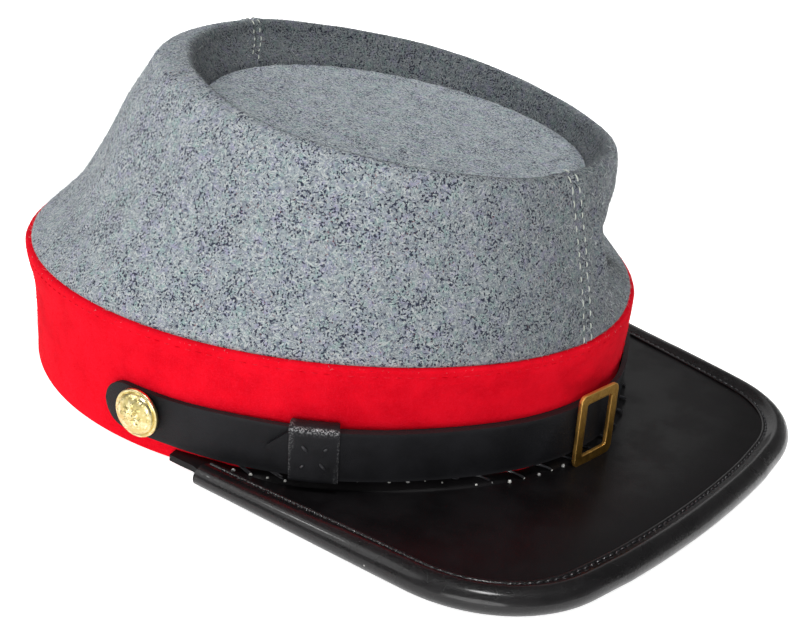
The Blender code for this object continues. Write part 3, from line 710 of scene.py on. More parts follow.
def seam_relief(distance):
    """The valley of a seam and the low ridge of doubled cloth on either side of it."""
    depth, half = SEAM_VALLEY
    high, width, fading = SEAM_RIDGE
    ridge = high * (1.0 - ramp(distance, width, fading))
    return ridge - depth * bell(distance, 0.0, half)


def crown_point(angle, way, softness):
    """The cloth's outer face with its folds and its soft lumps."""
    spot = plain_crown(angle, way)
    if way < 0.0:
        return spot
    settled = ease(way / LUMPS_START) * (1.0 - ramp(way, *LUMPS_END))
    high = folds(angle, spot) * (1.0 - ramp(way, *FOLDS_END)) + lumps(spot, softness)
    return spot + cloth_facing(angle, way) * (high * settled)


def crown_ways():
    ways = [-1.0, -0.5, -0.06]
    ways += [step / SIDE_ROWS for step in range(SIDE_ROWS)]
    ways += [1.0 + step / LIP_ROWS for step in range(LIP_ROWS)]
    ways += [2.0 + step / WALL_ROWS for step in range(WALL_ROWS)]
    return [*ways, 3.0, 3.2, 3.4]


def panel_painted_light(spot):
    """Painted light on the cloth: painted shade inside the recess, a painted shadow behind the left front's
    fold, and a little darker at the front.
    """
    middle = tilted_oval(0.0, 0.0, 0.0, 0.0, 0.0)
    angle = math.degrees(math.atan2(spot.x, middle.y - spot.y))
    crest = lip_crest(angle)
    inward = math.hypot(crest.x, crest.y - middle.y) - math.hypot(spot.x, spot.y - middle.y)
    recess = ramp(inward, *RECESS_FADE) if spot.z >= crest.z - TOP_DEPTH - RECESS_REACH else 0.0
    front, spread, dark = FRONT_SHADE
    shade = 1.0 - RECESS_SHADE * recess - dark * hump(angle, front, spread) * (1.0 - recess)
    fold, level, across, along, deep = FOLD_SHADE
    behind = hump(angle, fold, across) * bell(spot.z, level, along)
    return shade * (1.0 - deep * behind * (1.0 - recess))


def make_crown_panel(name, left, cloth):
    """One side panel, from the front seam round to the rear seam, with its thickness."""
    ways = crown_ways()

    def place(column, row):
        way = ways[row]
        share = column / PANEL_COLUMNS
        share -= SEAM_CROWDING * math.sin(2.0 * math.pi * share) / (2.0 * math.pi)
        front = seam_angle(way, False)
        rear = seam_angle(way, True) - (0.0 if left else 360.0)
        angle = front + (rear - front) * share
        spot = crown_point(angle, way, cloth.softness)
        nearest = min(abs(angle - front), abs(angle - rear))
        distance = math.radians(nearest) * math.hypot(spot.x, spot.y + LIP_FORWARD)
        settled = ease(way / RELIEF_START) if way > 0.0 else 0.0
        return spot + cloth_facing(angle, way) * (seam_relief(distance) * settled)

    panel = grid_sheet(PANEL_COLUMNS, len(ways) - 1, place)
    inside = [corner for corner in panel.verts if not corner.is_boundary]
    rounds, strength = SMOOTHING
    for _ in range(rounds):
        bmesh.ops.smooth_vert(
            panel, verts=inside, factor=strength, use_axis_x=True, use_axis_y=True, use_axis_z=True
        )
    # Seen from outside, the left panel's grid faces out and the right one's faces in.
    if not left:
        bmesh.ops.reverse_faces(panel, faces=panel.faces)
    bmesh.ops.solidify(panel, geom=panel.faces, thickness=CLOTH)
    # Painted light at each corner: painted shade in the recess and behind the fold, and a little darker at
    # the front.
    mark_corners(panel, "lie", panel_painted_light)
    side = "left" if left else "right"
    add_piece(name, panel, grey_wool(cloth), [f"crown_side_{side}"])


def make_crown_top(cloth):
    """The sunken top: an oval that sags a little and turns down into the seam round it."""
    middle = tilted_oval(0.0, 0.0, 0.0, TOP_FORWARD, TOP_DEPTH)
    count, high, pucker_at, pucker_spread = TOP_PUCKERS
    rim_start, rim_length, rim_depth = TOP_RIM
    calm_start, calm_length, calm_share = TOP_CALM

    def place(column, row):
        angle = column * 360.0 / TOP_COLUMNS
        share = 1.0 - (1.0 - row / TOP_RINGS) ** TOP_CROWDING
        edge = top_edge(angle, TOP_GAP)
        spot = middle.lerp(edge, share)
        puckers = high * math.sin(math.radians(angle) * count + 2.0 * noise.noise(edge * 60.0))
        puckers *= bell(share, pucker_at, pucker_spread)
        rim = rim_depth * ramp(share, rim_start, rim_length)
        sag = TOP_SAG * (1.0 - share * share)
        calm = 1.0 - calm_share * ramp(share, calm_start, calm_length)
        return spot + UP * (puckers - sag - rim + lumps(spot, TOP_LUMPS * cloth.softness) * calm)

    top = grid_sheet(TOP_COLUMNS, TOP_RINGS, place)
    bmesh.ops.recalc_face_normals(top, faces=top.faces)
    face_up(top)
    bmesh.ops.solidify(top, geom=top.faces, thickness=CLOTH)
    # Painted light: the sunken top is made paler.
    mark_corners(top, "lie", lambda spot: TOP_SHADE)
    add_piece("crown_top_cloth", top, grey_wool(cloth), ["crown_top"])


# ---- band


def band_rim():
    """The band's section as (height, out) points, from its lower outer edge up and round to its inside."""
    edge = BAND_EDGE_ROUND
    turns = [math.radians(90.0 * step / BAND_TURN_ROWS) for step in range(BAND_TURN_ROWS + 1)]
    rim = [(edge - edge * math.sin(turn), -edge + edge * math.cos(turn)) for turn in reversed(turns)]
    flat = BAND_HEIGHT - 2.0 * edge
    rim += [(edge + flat * step / BAND_FACE_ROWS, 0.0) for step in range(1, BAND_FACE_ROWS)]
    rim += [(BAND_HEIGHT - edge + edge * math.sin(turn), -edge + edge * math.cos(turn)) for turn in turns]
    rim += [(BAND_HEIGHT, -BAND_WALL + BAND_CHAMFER), (BAND_HEIGHT - BAND_CHAMFER, -BAND_WALL)]
    rim += [(BAND_HEIGHT * share, -BAND_WALL) for share in (0.8, 0.5, 0.2)]
    return rim + [(BAND_CHAMFER, -BAND_WALL), (0.0, -BAND_WALL + BAND_CHAMFER)]


def make_band(cloth):
    rim = band_rim()
    below, half, depth = BAND_HEM
    width, fading, thick = BAND_DOUBLED

    def place(column, row):
        angle = column * 360.0 / BAND_COLUMNS
        height, out = rim[row % len(rim)]
        spot = band_point(angle, height, out)
        if out > -BAND_EDGE_ROUND:
            hem = depth * bell(height, BAND_HEIGHT - below, half)
            doubled = thick * ramp(height, BAND_HEIGHT - width, fading)
            relief = doubled - hem + waves(spot, BAND_WAVES)
            spot += outward(angle) * (relief * ease(height / BAND_CALM))
        return spot

    ring = grid_sheet(BAND_COLUMNS, len(rim), place)
    add_piece("band_cloth", ring, red_wool(cloth), ["band"], 60.0)


# ---- peak


@functools.cache
def peak_outline():
    """The middle of the rolled edge in plan and the distance to each point, right to left."""
    root = Vector((PEAK_CORNER[0], -PEAK_CORNER[1]))
    corner = Vector((PEAK_FRONT_CORNER[0], -PEAK_FRONT_CORNER[1]))
    bulge = PEAK_FRONT - PEAK_FRONT_CORNER[1]
    fine = OUTLINE_POINTS

    def front(share):
        return Vector((corner.x * share, -PEAK_FRONT + bulge * share * share))

    back = (root - corner).normalized()
    ahead = (front(0.5) - corner).normalized()
    half_turn = back.angle(ahead) / 2.0
    centre = corner + (back + ahead).normalized() * (PEAK_CORNER_RADIUS / math.sin(half_turn))
    tangent = PEAK_CORNER_RADIUS / math.tan(half_turn)
    start, end = corner + ahead * tangent - centre, corner + back * tangent - centre
    swing = start.angle(end)
    arc = [
        centre + (start * math.sin(swing * (1.0 - share)) + end * math.sin(swing * share)) / math.sin(swing)
        for share in (step / fine for step in range(fine + 1))
    ]
    half = [front(0.5 * step / fine) for step in range(fine)]
    half += [*arc, *(arc[-1].lerp(root, step / fine) for step in range(1, fine + 1))]
    path = [Vector((-point.x, point.y)) for point in reversed(half[1:])] + half
    runs = [0.0]
    for before, after in zip(path, path[1:]):
        runs.append(runs[-1] + (after - before).length)
    return path, runs


@functools.cache
def outline_spot(share):
    """The outline's point at a share of its length."""
    path, runs = peak_outline()
    goal = min(max(share, 0.0), 1.0) * runs[-1]
    low, high = 0, len(runs) - 1
    while high - low > 1:
        middle = (low + high) // 2
        low, high = (middle, high) if runs[middle] <= goal else (low, middle)
    return path[low].lerp(path[high], (goal - runs[low]) / (runs[high] - runs[low]))


@functools.cache
def outline_out(share):
    """The level direction out of the peak at a share of its outline, turned evenly round the corners."""
    step = 0.012
    along = (outline_spot(share + step) - outline_spot(share - step)).normalized()
    return Vector((along.y, -along.x))


def roll_scale(share):
    from_end = min(share, 1.0 - share)
    return ROLL_END_SCALE + (1.0 - ROLL_END_SCALE) * ease(from_end / ROLL_TAPER_SHARE)


def peak_edge(share, out=0.0, rise=0.0):
    """A point of the binding's section: out from its middle line, and up from its middle height."""
    start, fading, end, most = PEAK_LEFT_OUT
    fuller = most * ramp(share, start, fading) * ease((1.0 - share) / end)
    level = outline_spot(share) + outline_out(share) * (out + fuller)
    return Vector((level.x, level.y, ROLL_HALF_HEIGHT * roll_scale(share) + rise))


def peak_root(angle):
    root = band_point(angle, 0.0, PEAK_GAP)
    lift = ramp(abs(angle), *PEAK_TAIL_LIFT)
    root.z = PEAK_ROOT_MIDDLE + (peak_edge(0.0).z - PEAK_ROOT_MIDDLE) * lift
    return root


def peak_sheet(share, across):
    """The middle of the leather, at a share from right to left and a share from root to edge."""
    angle = (2.0 * share - 1.0) * PEAK_CORNER_ANGLE
    root = peak_root(angle)
    edge = peak_edge(share, PEAK_UNDER_ROLL)
    spot = root.lerp(edge, across)
    high, near, last, fading = ROOT_TURN_UP
    middle, spread, lower = ROOT_DIP
    turned = (1.0 - ease((spot - root).length / near)) * (1.0 - ramp(abs(angle), last, fading))
    turned *= 1.0 - lower * hump(angle, middle, spread)
    spot.z = root.z + (edge.z - root.z) * ease(across / PEAK_RISEN_AT) + high * turned
    return spot


def make_peak(leather):
    tail = (PEAK_TAIL_ANGLE - PEAK_CORNER_ANGLE) / PEAK_TAIL_COLUMNS
    wide, narrow = PEAK_TAIL_WIDTH
    near_root, near_edge = PEAK_CALM

    def place(column, row):
        count = column - PEAK_TAIL_COLUMNS
        beyond = max(-count, count - PEAK_COLUMNS, 0)
        across = (row / PEAK_ROWS) ** PEAK_CROWDING
        if beyond:
            angle = math.copysign(PEAK_CORNER_ANGLE + beyond * tail, count - 1)
            root = peak_root(angle)
            width = wide + (narrow - wide) * beyond / PEAK_TAIL_COLUMNS
            edge = band_point(angle, 0.0, PEAK_GAP + width)
            edge.z = root.z
            return root.lerp(edge, across)
        spot = peak_sheet(count / PEAK_COLUMNS, across)
        calm = ease(across / near_root) * (1.0 - ramp(across, near_edge, 0.1))
        return spot + UP * (waves(spot, PEAK_WAVES) * calm)

    sheet = grid_sheet(PEAK_COLUMNS + 2 * PEAK_TAIL_COLUMNS, PEAK_ROWS, place)
    bmesh.ops.solidify(sheet, geom=sheet.faces, thickness=PEAK_THICKNESS)
    # The sheet faces down, so its thickness has grown upwards.
    bmesh.ops.translate(sheet, verts=sheet.verts, vec=-UP * (PEAK_THICKNESS / 2.0))
    soften_edges(sheet, 0.3 * MM, 2, 60.0)
    add_piece("peak_leather", sheet, peak_leather(leather), ["peak"])


@functools.cache
def binding_section(scale):
    """The binding's section as (out, rise) points, from its upper lap over the roll to its lower lap."""
    slot = PEAK_THICKNESS / 2.0 + 0.02 * MM
    top = slot + BINDING_EDGE
    full = ROLL_HALF_HEIGHT * scale
    reach = ROLL_OUT * scale
    back, depth = BINDING_GROOVE
    start = -BINDING_LAP
    upper = [(start, slot), *((start + out * MM, top + rise * MM) for out, rise in LAP_EDGE)]
    upper += [
        (start + back + out * MM, top - share * depth + rise * MM) for out, share, rise in LAP_GROOVE
    ]
    first, rise_from = upper[-1]
    steps = 7
    for step in range(1, steps):
        share = step / steps
        upper.append((first * (1.0 - share), rise_from + (full - rise_from) * ease(0.12 + 0.88 * share)))
    turns = [math.radians(turn) for turn in range(0, 90, 9)]
    upper += [(reach * math.sin(turn), full * math.cos(turn)) for turn in turns]
    lower = [(out, -rise) for out, rise in reversed(upper)]
    return [*upper, (reach, 0.0), *lower, (BINDING_BOTTOM, -slot), (BINDING_BOTTOM, slot)]


def section_at(share):
    return binding_section(round(roll_scale(share), 6))


def make_binding(leather):
    sections = len(binding_section(1.0))
    often, high, ends = ROLL_CREASES

    def place(column, row):
        share = column / BINDING_COLUMNS
        out, rise = section_at(share)[row % sections]
        spot = peak_edge(share, out, rise)
        if out > -BINDING_LAP * 0.6 and rise > 0.0:
            near_end = 1.0 - ease(min(share, 1.0 - share) / ends)
            crease = high * math.sin(share * often + 5.0 * noise.noise(spot * 120.0)) * near_end
            spot += UP * (waves(spot, ROLL_WAVES) + crease) * min(rise / (2.0 * MM), 1.0)
        return spot

    roll = grid_sheet(BINDING_COLUMNS, sections, place)
    fill_ends(roll)
    add_piece("binding_roll", roll, roll_leather(leather), ["peak_binding"], 50.0)


# ---- chin strap


def strap_rise(angle):
    return (KEEPER_THICKNESS + STRAP_GAP) * hump(angle, KEEPER_ANGLE, KEEPER_EASE)


def keeper_stack(angle):
    """Distance from the band to the outer strap's outer face, where the straps overlap."""
    return strap_rise(angle) + 2.0 * (STRAP_GAP + STRAP_THICKNESS)


def strap_rear(angle):
    """How much the right strap rises towards its button, and how much narrower it gets."""
    start, spread, rise, narrower = STRAP_REAR
    share = ease((start - angle) / spread)
    return rise * share, narrower * share


def left_strap_stand(angle):
    stacked = strap_rise(angle) + STRAP_THICKNESS + 2.0 * STRAP_GAP
    return stacked + (STRAP_GAP - stacked) * ramp(angle, *LEFT_STRAP_SETTLE)


def right_strap_stand(angle):
    return STRAP_GAP + strap_rise(angle)


def round_end(rounded_at, inward):
    """(angle, half width) stations of a strap's half-round end."""
    half = STRAP_WIDTH / 2.0
    first, swing = STRAP_END
    steps = range(STRAP_END_STEPS + 1)
    turns = [math.radians(first + swing * step / STRAP_END_STEPS) for step in steps]
    return [
        (rounded_at + inward * band_turn(half * (1.0 - math.cos(turn))), half * math.sin(turn))
        for turn in turns
    ]


def even_stations(first, last):
    steps = max(1, round(abs(last - first) / STATION_TURN))
    half = STRAP_WIDTH / 2.0
    return [(first + (last - first) * step / steps, half) for step in range(1, steps + 1)]


def make_strap(name, stations, height, stand, leather, replaces):
    """A strap through its stations, with softened edges and a slight bow across its width."""
    stations = sorted(stations)
    sway_by, sways = STRAP_SWAY

    def place(column, row):
        angle, half = stations[column]
        rise, narrower = strap_rear(angle)
        half -= narrower * half / (STRAP_WIDTH / 2.0)
        side = 2.0 * row / STRAP_ROWS - 1.0
        level = height + half * side
        out = stand(angle) + STRAP_THICKNESS
        uneven = waves(band_point(angle, level, out), STRAP_WAVES)
        sway = sway_by * noise.noise(Vector((angle * sways, 3.0, 0.0)))
        return band_point(angle, level + sway - STRAP_DROP + rise, out - STRAP_BOW * side * side + uneven)

    strap = grid_sheet(len(stations) - 1, STRAP_ROWS, place)
    bmesh.ops.solidify(strap, geom=strap.faces, thickness=STRAP_THICKNESS)
    if strap.calc_volume(signed=True) < 0.0:
        bmesh.ops.reverse_faces(strap, faces=strap.faces)
    soften_edges(strap, 0.38 * MM, 3, 55.0)
    mark_corners(strap, "wear", lambda spot: edge_nearness(spot, height))
    add_piece(name, strap, strap_leather(leather), replaces)


def edge_nearness(spot, height):
    """1 at a strap's long edges and 0 a little way in from them."""
    return 1.0 - ease((STRAP_WIDTH / 2.0 - abs(spot.z - height)) / STRAP_EDGE_WEAR)


def make_chin_strap(leather):
    """The right strap, and the left one with its blunt tip that lies over it."""
    right = round_end(-STRAP_END_ANGLE, 1.0)
    right += even_stations(right[-1][0], RIGHT_STRAP_FRONT_ANGLE)
    make_strap(
        "strap_right", right, RIGHT_STRAP_HEIGHT, right_strap_stand, leather, ["chin_strap_right"]
    )
    tip = LEFT_STRAP_TIP_ANGLE
    length = band_turn(LEFT_STRAP_TIP_LENGTH)
    wider = STRAP_WIDTH / 2.0 - STRAP_TIP_HALF
    shares = [step / STRAP_TIP_STEPS for step in range(STRAP_TIP_STEPS + 1)]
    left = [(tip + length * share, STRAP_TIP_HALF + wider * share) for share in shares]
    end = round_end(STRAP_END_ANGLE, -1.0)
    left += even_stations(tip + length, end[-1][0])[:-1] + end
    make_strap("strap_left", left, LEFT_STRAP_HEIGHT, left_strap_stand, leather, ["chin_strap_left"])


def keeper_loop():
    """The keeper's section as (height, share of the way out) points: a flat loop with round folds."""
    reach = STRAP_WIDTH / 2.0
    low = min(RIGHT_STRAP_HEIGHT, LEFT_STRAP_HEIGHT) - reach - STRAP_GAP + KEEPER_FOOT_UP
    high = max(RIGHT_STRAP_HEIGHT, LEFT_STRAP_HEIGHT) + reach + KEEPER_HEADROOM
    middle, half = (high + low) / 2.0, (high - low) / 2.0 + KEEPER_THICKNESS
    flat = half - KEEPER_CORNER
    loop = []
    for side in (1.0, -1.0):
        for step in range(KEEPER_FLAT_STEPS + 1):
            level = side * (1.0 - 2.0 * step / KEEPER_FLAT_STEPS) * flat
            loop.append((middle + level, max(side, 0.0)))
        for step in range(1, KEEPER_FOLD_STEPS):
            turn = math.radians(180.0 * step / KEEPER_FOLD_STEPS)
            bow = KEEPER_CORNER * math.sin(turn)
            loop.append((middle - side * (flat + bow), (1.0 + side * math.cos(turn)) / 2.0))
    return loop


def make_keeper(leather):
    """A leather loop round both straps, worn along its upper fold, which is made pale partly as painted
    shine, with a painted highlight along its side edges.
    """
    loop = keeper_loop()

    def place(column, row):
        height, share = loop[row % len(loop)]
        angle = KEEPER_ANGLE + band_turn(KEEPER_WIDTH) * (column / KEEPER_COLUMNS - 0.5)
        angle += band_turn(KEEPER_TILT) * (0.5 - height / (2.0 * RIGHT_STRAP_HEIGHT))
        front = keeper_stack(angle) + STRAP_GAP + KEEPER_THICKNESS
        back = strap_rise(angle) - KEEPER_THICKNESS
        crumple = KEEPER_CRUMPLE * noise.noise(Vector((angle * 1.3, height * 420.0, share)))
        return band_point(angle, height, back + (front - back) * share + crumple * share)

    sleeve = grid_sheet(KEEPER_COLUMNS, len(loop), place)
    bmesh.ops.recalc_face_normals(sleeve, faces=sleeve.faces)
    bmesh.ops.solidify(sleeve, geom=sleeve.faces, thickness=KEEPER_THICKNESS)
    soften_edges(sleeve, 0.22 * MM, 2, 60.0)
    along, ahead = sideways(KEEPER_ANGLE), outward(KEEPER_ANGLE)
    middle = band_point(KEEPER_ANGLE, 0.0).dot(along)
    top = max(corner.co.z for corner in sleeve.verts)
    front = max(corner.co.dot(ahead) for corner in sleeve.verts)
    below, spread, behind, fading = KEEPER_RUB_AND_PAINTED_SHINE
    inside, side_fading, faint = KEEPER_EDGE_PAINTED_HIGHLIGHT

    # The worn upper fold, made pale partly as painted shine, and a painted highlight along the side edges.
    def rubbed(spot):
        fold = bell(top - spot.z, below, spread) * (1.0 - ramp(front - spot.dot(ahead), behind, fading))
        side = ramp(abs(spot.dot(along) - middle), KEEPER_WIDTH / 2.0 - inside, side_fading)
        return max(fold, faint * side)

    mark_corners(sleeve, "wear", rubbed)
    add_piece("keeper_leather", sleeve, keeper_leather(leather), ["strap_keeper"])


# ---- metal


def round_frame(width, height, radius, steps=7):
    """The points of a rectangle with round corners, in its own plane."""
    points = []
    for quarter, (side, up) in enumerate(((1, 1), (-1, 1), (-1, -1), (1, -1))):
        for step in range(steps + 1):
            turn = math.radians(90.0 * (quarter + step / steps))
            points.append((
                side * (width / 2.0 - radius) + radius * math.cos(turn),
                up * (height / 2.0 - radius) + radius * math.sin(turn),
            ))
    return points


def side_axes(angle):
    """Axes on the cap's side at an angle: X along the band, Y up and Z away from the cap."""
    return Matrix((sideways(angle), UP, outward(angle))).transposed().to_4x4()


def buckle_place():
    """The buckle's own axes, leaned, turned and slanted a little."""
    axes = side_axes(BUCKLE_ANGLE + math.degrees(BUCKLE_TURN))
    axes = axes @ Matrix.Rotation(-BUCKLE_LEAN, 4, "X") @ Matrix.Rotation(BUCKLE_SLANT, 4, "Z")
    width, height = BUCKLE_SIZE
    stand = keeper_stack(BUCKLE_ANGLE) + STRAP_GAP + BUCKLE_THICKNESS / 2.0
    stand += height / 2.0 * math.sin(BUCKLE_LEAN) + width / 4.0 * abs(math.sin(BUCKLE_TURN))
    return Matrix.Translation(band_point(BUCKLE_ANGLE, BUCKLE_HEIGHT, stand)) @ axes


def make_buckle(metal):
    """A flat cast frame: a ring of faces that is thickened and has its edges rounded."""
    width, height = BUCKLE_SIZE
    half = BUCKLE_THICKNESS / 2.0
    outside = round_frame(width, height, BUCKLE_CORNER)
    inside = round_frame(width - 2.0 * BUCKLE_BAR, height - 2.0 * BUCKLE_BAR, BUCKLE_CORNER / 3.0)

    def place(column, row):
        outer, inner = (Vector(loop[column % len(loop)]).to_3d() for loop in (outside, inside))
        spot = outer.lerp(inner, row / BUCKLE_ROWS)
        dents = waves(spot, BUCKLE_DENTS) * (1.0 if row in (0, BUCKLE_ROWS) else 0.3)
        return spot + (outer - inner).normalized() * dents + UP * half

    ring = grid_sheet(len(outside), BUCKLE_ROWS, place)
    face_up(ring)
    bmesh.ops.solidify(ring, geom=ring.faces, thickness=BUCKLE_THICKNESS)
    soften_edges(ring, 0.24 * MM, 3, 60.0)
    mark_corners(ring, "wear", lambda spot: ramp(half - spot.z, *BUCKLE_RUB))
    bmesh.ops.transform(ring, matrix=buckle_place(), verts=ring.verts)
    add_piece("buckle_frame", ring, aged_brass(metal), ["buckle"], 35.0)


def rosette(share, turn, petals):
    """The button's low relief at a share of its radius: petals round a boss, inside a beaded ring."""
    swing = math.cos(turn * petals)
    short, longer, tip = ROSETTE_PETAL
    reach = short + longer * max(swing, 0.0) ** 0.6
    petal = ease((reach - share) / tip) * (0.55 + 0.45 * abs(swing) ** 0.5)
    half, depth = ROSETTE_VEIN
    vein = depth * bell(share * math.sin(turn * petals / 2.0), 0.0, half) if share > 0.2 else 0.0
    radius, soft, high = ROSETTE_BOSS
    boss = high * ease((radius - share) / soft)
    radius, half, high, count = ROSETTE_BEADS
    beads = high * max(math.cos(turn * petals * count), 0.0) * bell(share, radius, half)
    return max(petal * ramp(share, 0.13, 0.05) - vein, boss, beads)


def make_button(name, angle, metal, replaces):
    """A domed button with a raised rim, on a post through strap and band."""
    seat = STRAP_THICKNESS + 3.0 * STRAP_GAP
    edge, low, full = BUTTON_FACE
    dome = []
    for step in range(BUTTON_ROWS + 1):
        share = edge * (1.0 - step / BUTTON_ROWS)
        dome.append((share, low + (1.0 - low) * math.sqrt(max(0.0, 1.0 - (share / edge) ** full))))
    profile = [(0.0, -BAND_WALL), (BUTTON_POST, -BAND_WALL), (BUTTON_POST, seat)]
    profile += [(BUTTON_RADIUS * share, seat + BUTTON_DOME * rise) for share, rise in (*BUTTON_RIM, *dome)]
    first_dome = len(profile) - len(dome)

    def place(column, row):
        turn = 2.0 * math.pi * column / BUTTON_COLUMNS
        radius, rise = profile[row]
        if row >= first_dome:
            rise += metal.relief * (rosette(radius / BUTTON_RADIUS, turn, metal.petals) - ROSETTE_GROUND)
        return Vector((radius * math.cos(turn), radius * math.sin(turn), rise))

    button = grid_sheet(BUTTON_COLUMNS, len(profile) - 1, place)
    spot = Matrix.Translation(band_point(angle, BUTTON_HEIGHT)) @ side_axes(angle)
    bmesh.ops.transform(button, matrix=spot, verts=button.verts)
    add_piece(name, button, pale_brass(metal), replaces, 40.0)


# ---- stitches


def lay_stitch(bm, start, end, up, radius, bow):
    """One thread from start to end that bows up from the surface and dives in at both ends."""
    run = end - start
    side = up.cross(run).normalized()
    rise = run.cross(side).normalized()
    made = bmesh.ops.create_uvsphere(bm, u_segments=STITCH_SIDES, v_segments=STITCH_RINGS, radius=1.0)
    for corner in made["verts"]:
        x, y, z = corner.co
        along = (math.copysign(abs(z) ** 0.85, z) + 1.0) / 2.0
        lift = bow * (1.0 - z * z)
        corner.co = start + run * along + side * (x * radius) + rise * (y * radius + lift)


def row_of_places(route, pitch):
    """Places at an even pitch along a function of 0 to 1, as (place, share)."""
    fine = 400
    points = [route(step / fine) for step in range(fine + 1)]
    total = sum((after - before).length for before, after in zip(points, points[1:]))
    count = max(1, round(total / pitch))
    places, walked, goal = [], 0.0, 0.0
    for step, (before, after) in enumerate(zip(points, points[1:])):
        run = (after - before).length
        while goal <= walked + run and len(places) <= count:
            part = (goal - walked) / run if run else 0.0
            places.append((before.lerp(after, part), (step + part) / fine))
            goal += total / count
        walked += run
    return places


def seam_stitch_row(bm, rear, side, seams, softness, last_way):
    """One row of stitches beside a seam, from the band over the lip and down into the recess."""
    offset = side * seams.row_gap / 2.0
    middle = 180.0 if rear else 0.0

    def way_at(share):
        return SEAM_FIRST_WAY + (last_way - SEAM_FIRST_WAY) * share

    def route(share):
        way = way_at(share)
        plain = plain_crown(middle, way)
        reach = math.hypot(plain.x, plain.y + LIP_FORWARD)
        angle = seam_angle(way, rear) + math.degrees(offset / reach)
        spot = crown_point(angle, way, softness)
        return spot + cloth_facing(angle, way) * seam_relief(abs(offset))

    chance = random.Random(11 + 2 * rear + (side > 0.0))
    for _, share in row_of_places(route, seams.pitch)[:-1]:
        length = seams.stitch * chance.uniform(0.75, 1.15)
        here, ahead = route(share), route(min(share + 0.003, 1.0))
        direction = (ahead - here).normalized()
        up = cloth_facing(middle, way_at(share))
        up = (up - direction * up.dot(direction)).normalized()
        slant = direction.cross(up) * chance.uniform(-0.12, 0.3) * MM
        start = here - up * (chance.uniform(0.06, 0.17) * MM)
        lay_stitch(bm, start, start + direction * length + slant, up, *SEAM_THREAD)


def make_seam_stitches(cloth, seams):
    """Two rows along each seam, up to a last place on the cloth's way."""
    for name, rear, last_way in (("seam_stitches_front", False, 1.75), ("seam_stitches_rear", True, 2.93)):
        rows = bmesh.new()
        for side in (-1.0, 1.0):
            seam_stitch_row(rows, rear, side, seams, cloth.softness, last_way)
        add_piece(name, rows, seam_thread(seams), rejoin=False)


def make_hem_stitches(cloth):
    """The small red stitches that hold the band's folded top edge."""
    rows = bmesh.new()
    height = BAND_HEIGHT - BAND_HEM[0]
    for number in range(HEM_STITCHES):
        angle = 360.0 * number / HEM_STITCHES
        ends = [band_point(angle + turn, height, -0.06 * MM) for turn in (0.0, HEM_STITCH_TURN)]
        lay_stitch(rows, *ends, outward(angle), *HEM_THREAD)
    add_piece("hem_stitches", rows, red_thread(cloth), rejoin=False)


def binding_top(share, behind):
    """The binding's upper face at a distance out from the roll's middle line, so below 0 behind it."""
    section = section_at(share)
    upper = [point for point in section[1:len(section) // 2] if point[0] <= 0.0]
    before = max(point for point in upper if point[0] <= behind)
    after = min(point for point in upper if point[0] > behind)
    part = (behind - before[0]) / (after[0] - before[0])
    return peak_edge(share, behind, before[1] + (after[1] - before[1]) * part)


def make_binding_stitches(leather):
    """The row of stitches in the groove of the binding's upper lap."""
    rows = bmesh.new()
    behind = BINDING_GROOVE[0] - BINDING_LAP
    margin, near = 0.012, 0.004

    def route(share):
        return binding_top(margin + (1.0 - 2.0 * margin) * share, behind)

    chance = random.Random(5)
    for spot, share in row_of_places(route, leather.binding_pitch)[:-1]:
        direction = (route(min(share + near, 1.0)) - route(max(share - near, 0.0))).normalized()
        length = leather.binding_stitch * chance.uniform(0.9, 1.08)
        beside = direction.cross(UP) * (chance.uniform(-0.1, 0.1) * MM)
        start = spot + beside + UP * 0.02 * MM
        lay_stitch(rows, start, start + direction * length - beside, UP, *BINDING_THREAD)
    add_piece("binding_stitches", rows, waxed_thread(leather), rejoin=False)


def root_top(angle, reach):
    """The peak's upper face at a distance from the band, where its root turns up."""
    share = (angle / PEAK_CORNER_ANGLE + 1.0) / 2.0
    whole = (peak_edge(share, PEAK_UNDER_ROLL) - peak_root(angle)).length
    return peak_sheet(share, reach / whole) + UP * (PEAK_THICKNESS / 2.0 + 0.1 * MM)


def root_reach(angle):
    """How far from the band the threads of the root end, in mm."""
    return ROOT_REACH + sum(more * ramp(angle, start, spread) for start, spread, more in ROOT_REACH_STEPS)


def make_root_stitches(leather):
    """Long slanting threads, in threes, that hold the peak's root to the band, with knots beside them in a
    pale thread that paints their glints.
    """
    rows, knots = bmesh.new(), bmesh.new()
    pitch = band_turn(leather.root_pitch)
    count = int(2.0 * ROOT_SEWN_ANGLE / pitch)
    top_turn, top_more = ROOT_TOP_TURN
    foot_turn, foot_more = ROOT_FOOT_TURN
    chance = random.Random(8)
    for number in range(count + 1):
        angle = (number - count / 2.0) * pitch + chance.uniform(-0.25, 0.25)
        reach = root_reach(angle)
        up = (outward(angle) + UP).normalized()
        for strand in ROOT_STRANDS:
            height = peak_root(angle).z + (ROOT_STRAND_TOP - strand) * MM
            top = band_point(angle + top_turn + top_more * strand, height, PEAK_GAP)
            run = (reach + chance.uniform(-0.35, 0.35)) * MM
            foot = root_top(angle + foot_turn + foot_more * strand, run)
            bow = chance.uniform(0.5, 1.0) * MM
            lay_stitch(rows, top, foot, up, chance.uniform(0.25, 0.36) * MM, bow)
        if angle > ROOT_KNOTS_END:
            continue
        for turn, size, near_size in ROOT_KNOTS:
            size = near_size if angle > ROOT_KNOTS_NEAR else size
            knot = root_top(angle + turn, (reach + 0.4) * MM)
            along = sideways(angle + turn) * (0.55 * size * MM)
            radius = 0.5 * size * chance.uniform(0.6, 1.15) * MM
            lay_stitch(knots, knot - along, knot + along, UP, radius, 0.25 * MM)
    add_piece("root_stitches", rows, waxed_thread(leather), rejoin=False)
    add_piece("root_knots", knots, knot_thread(), rejoin=False)


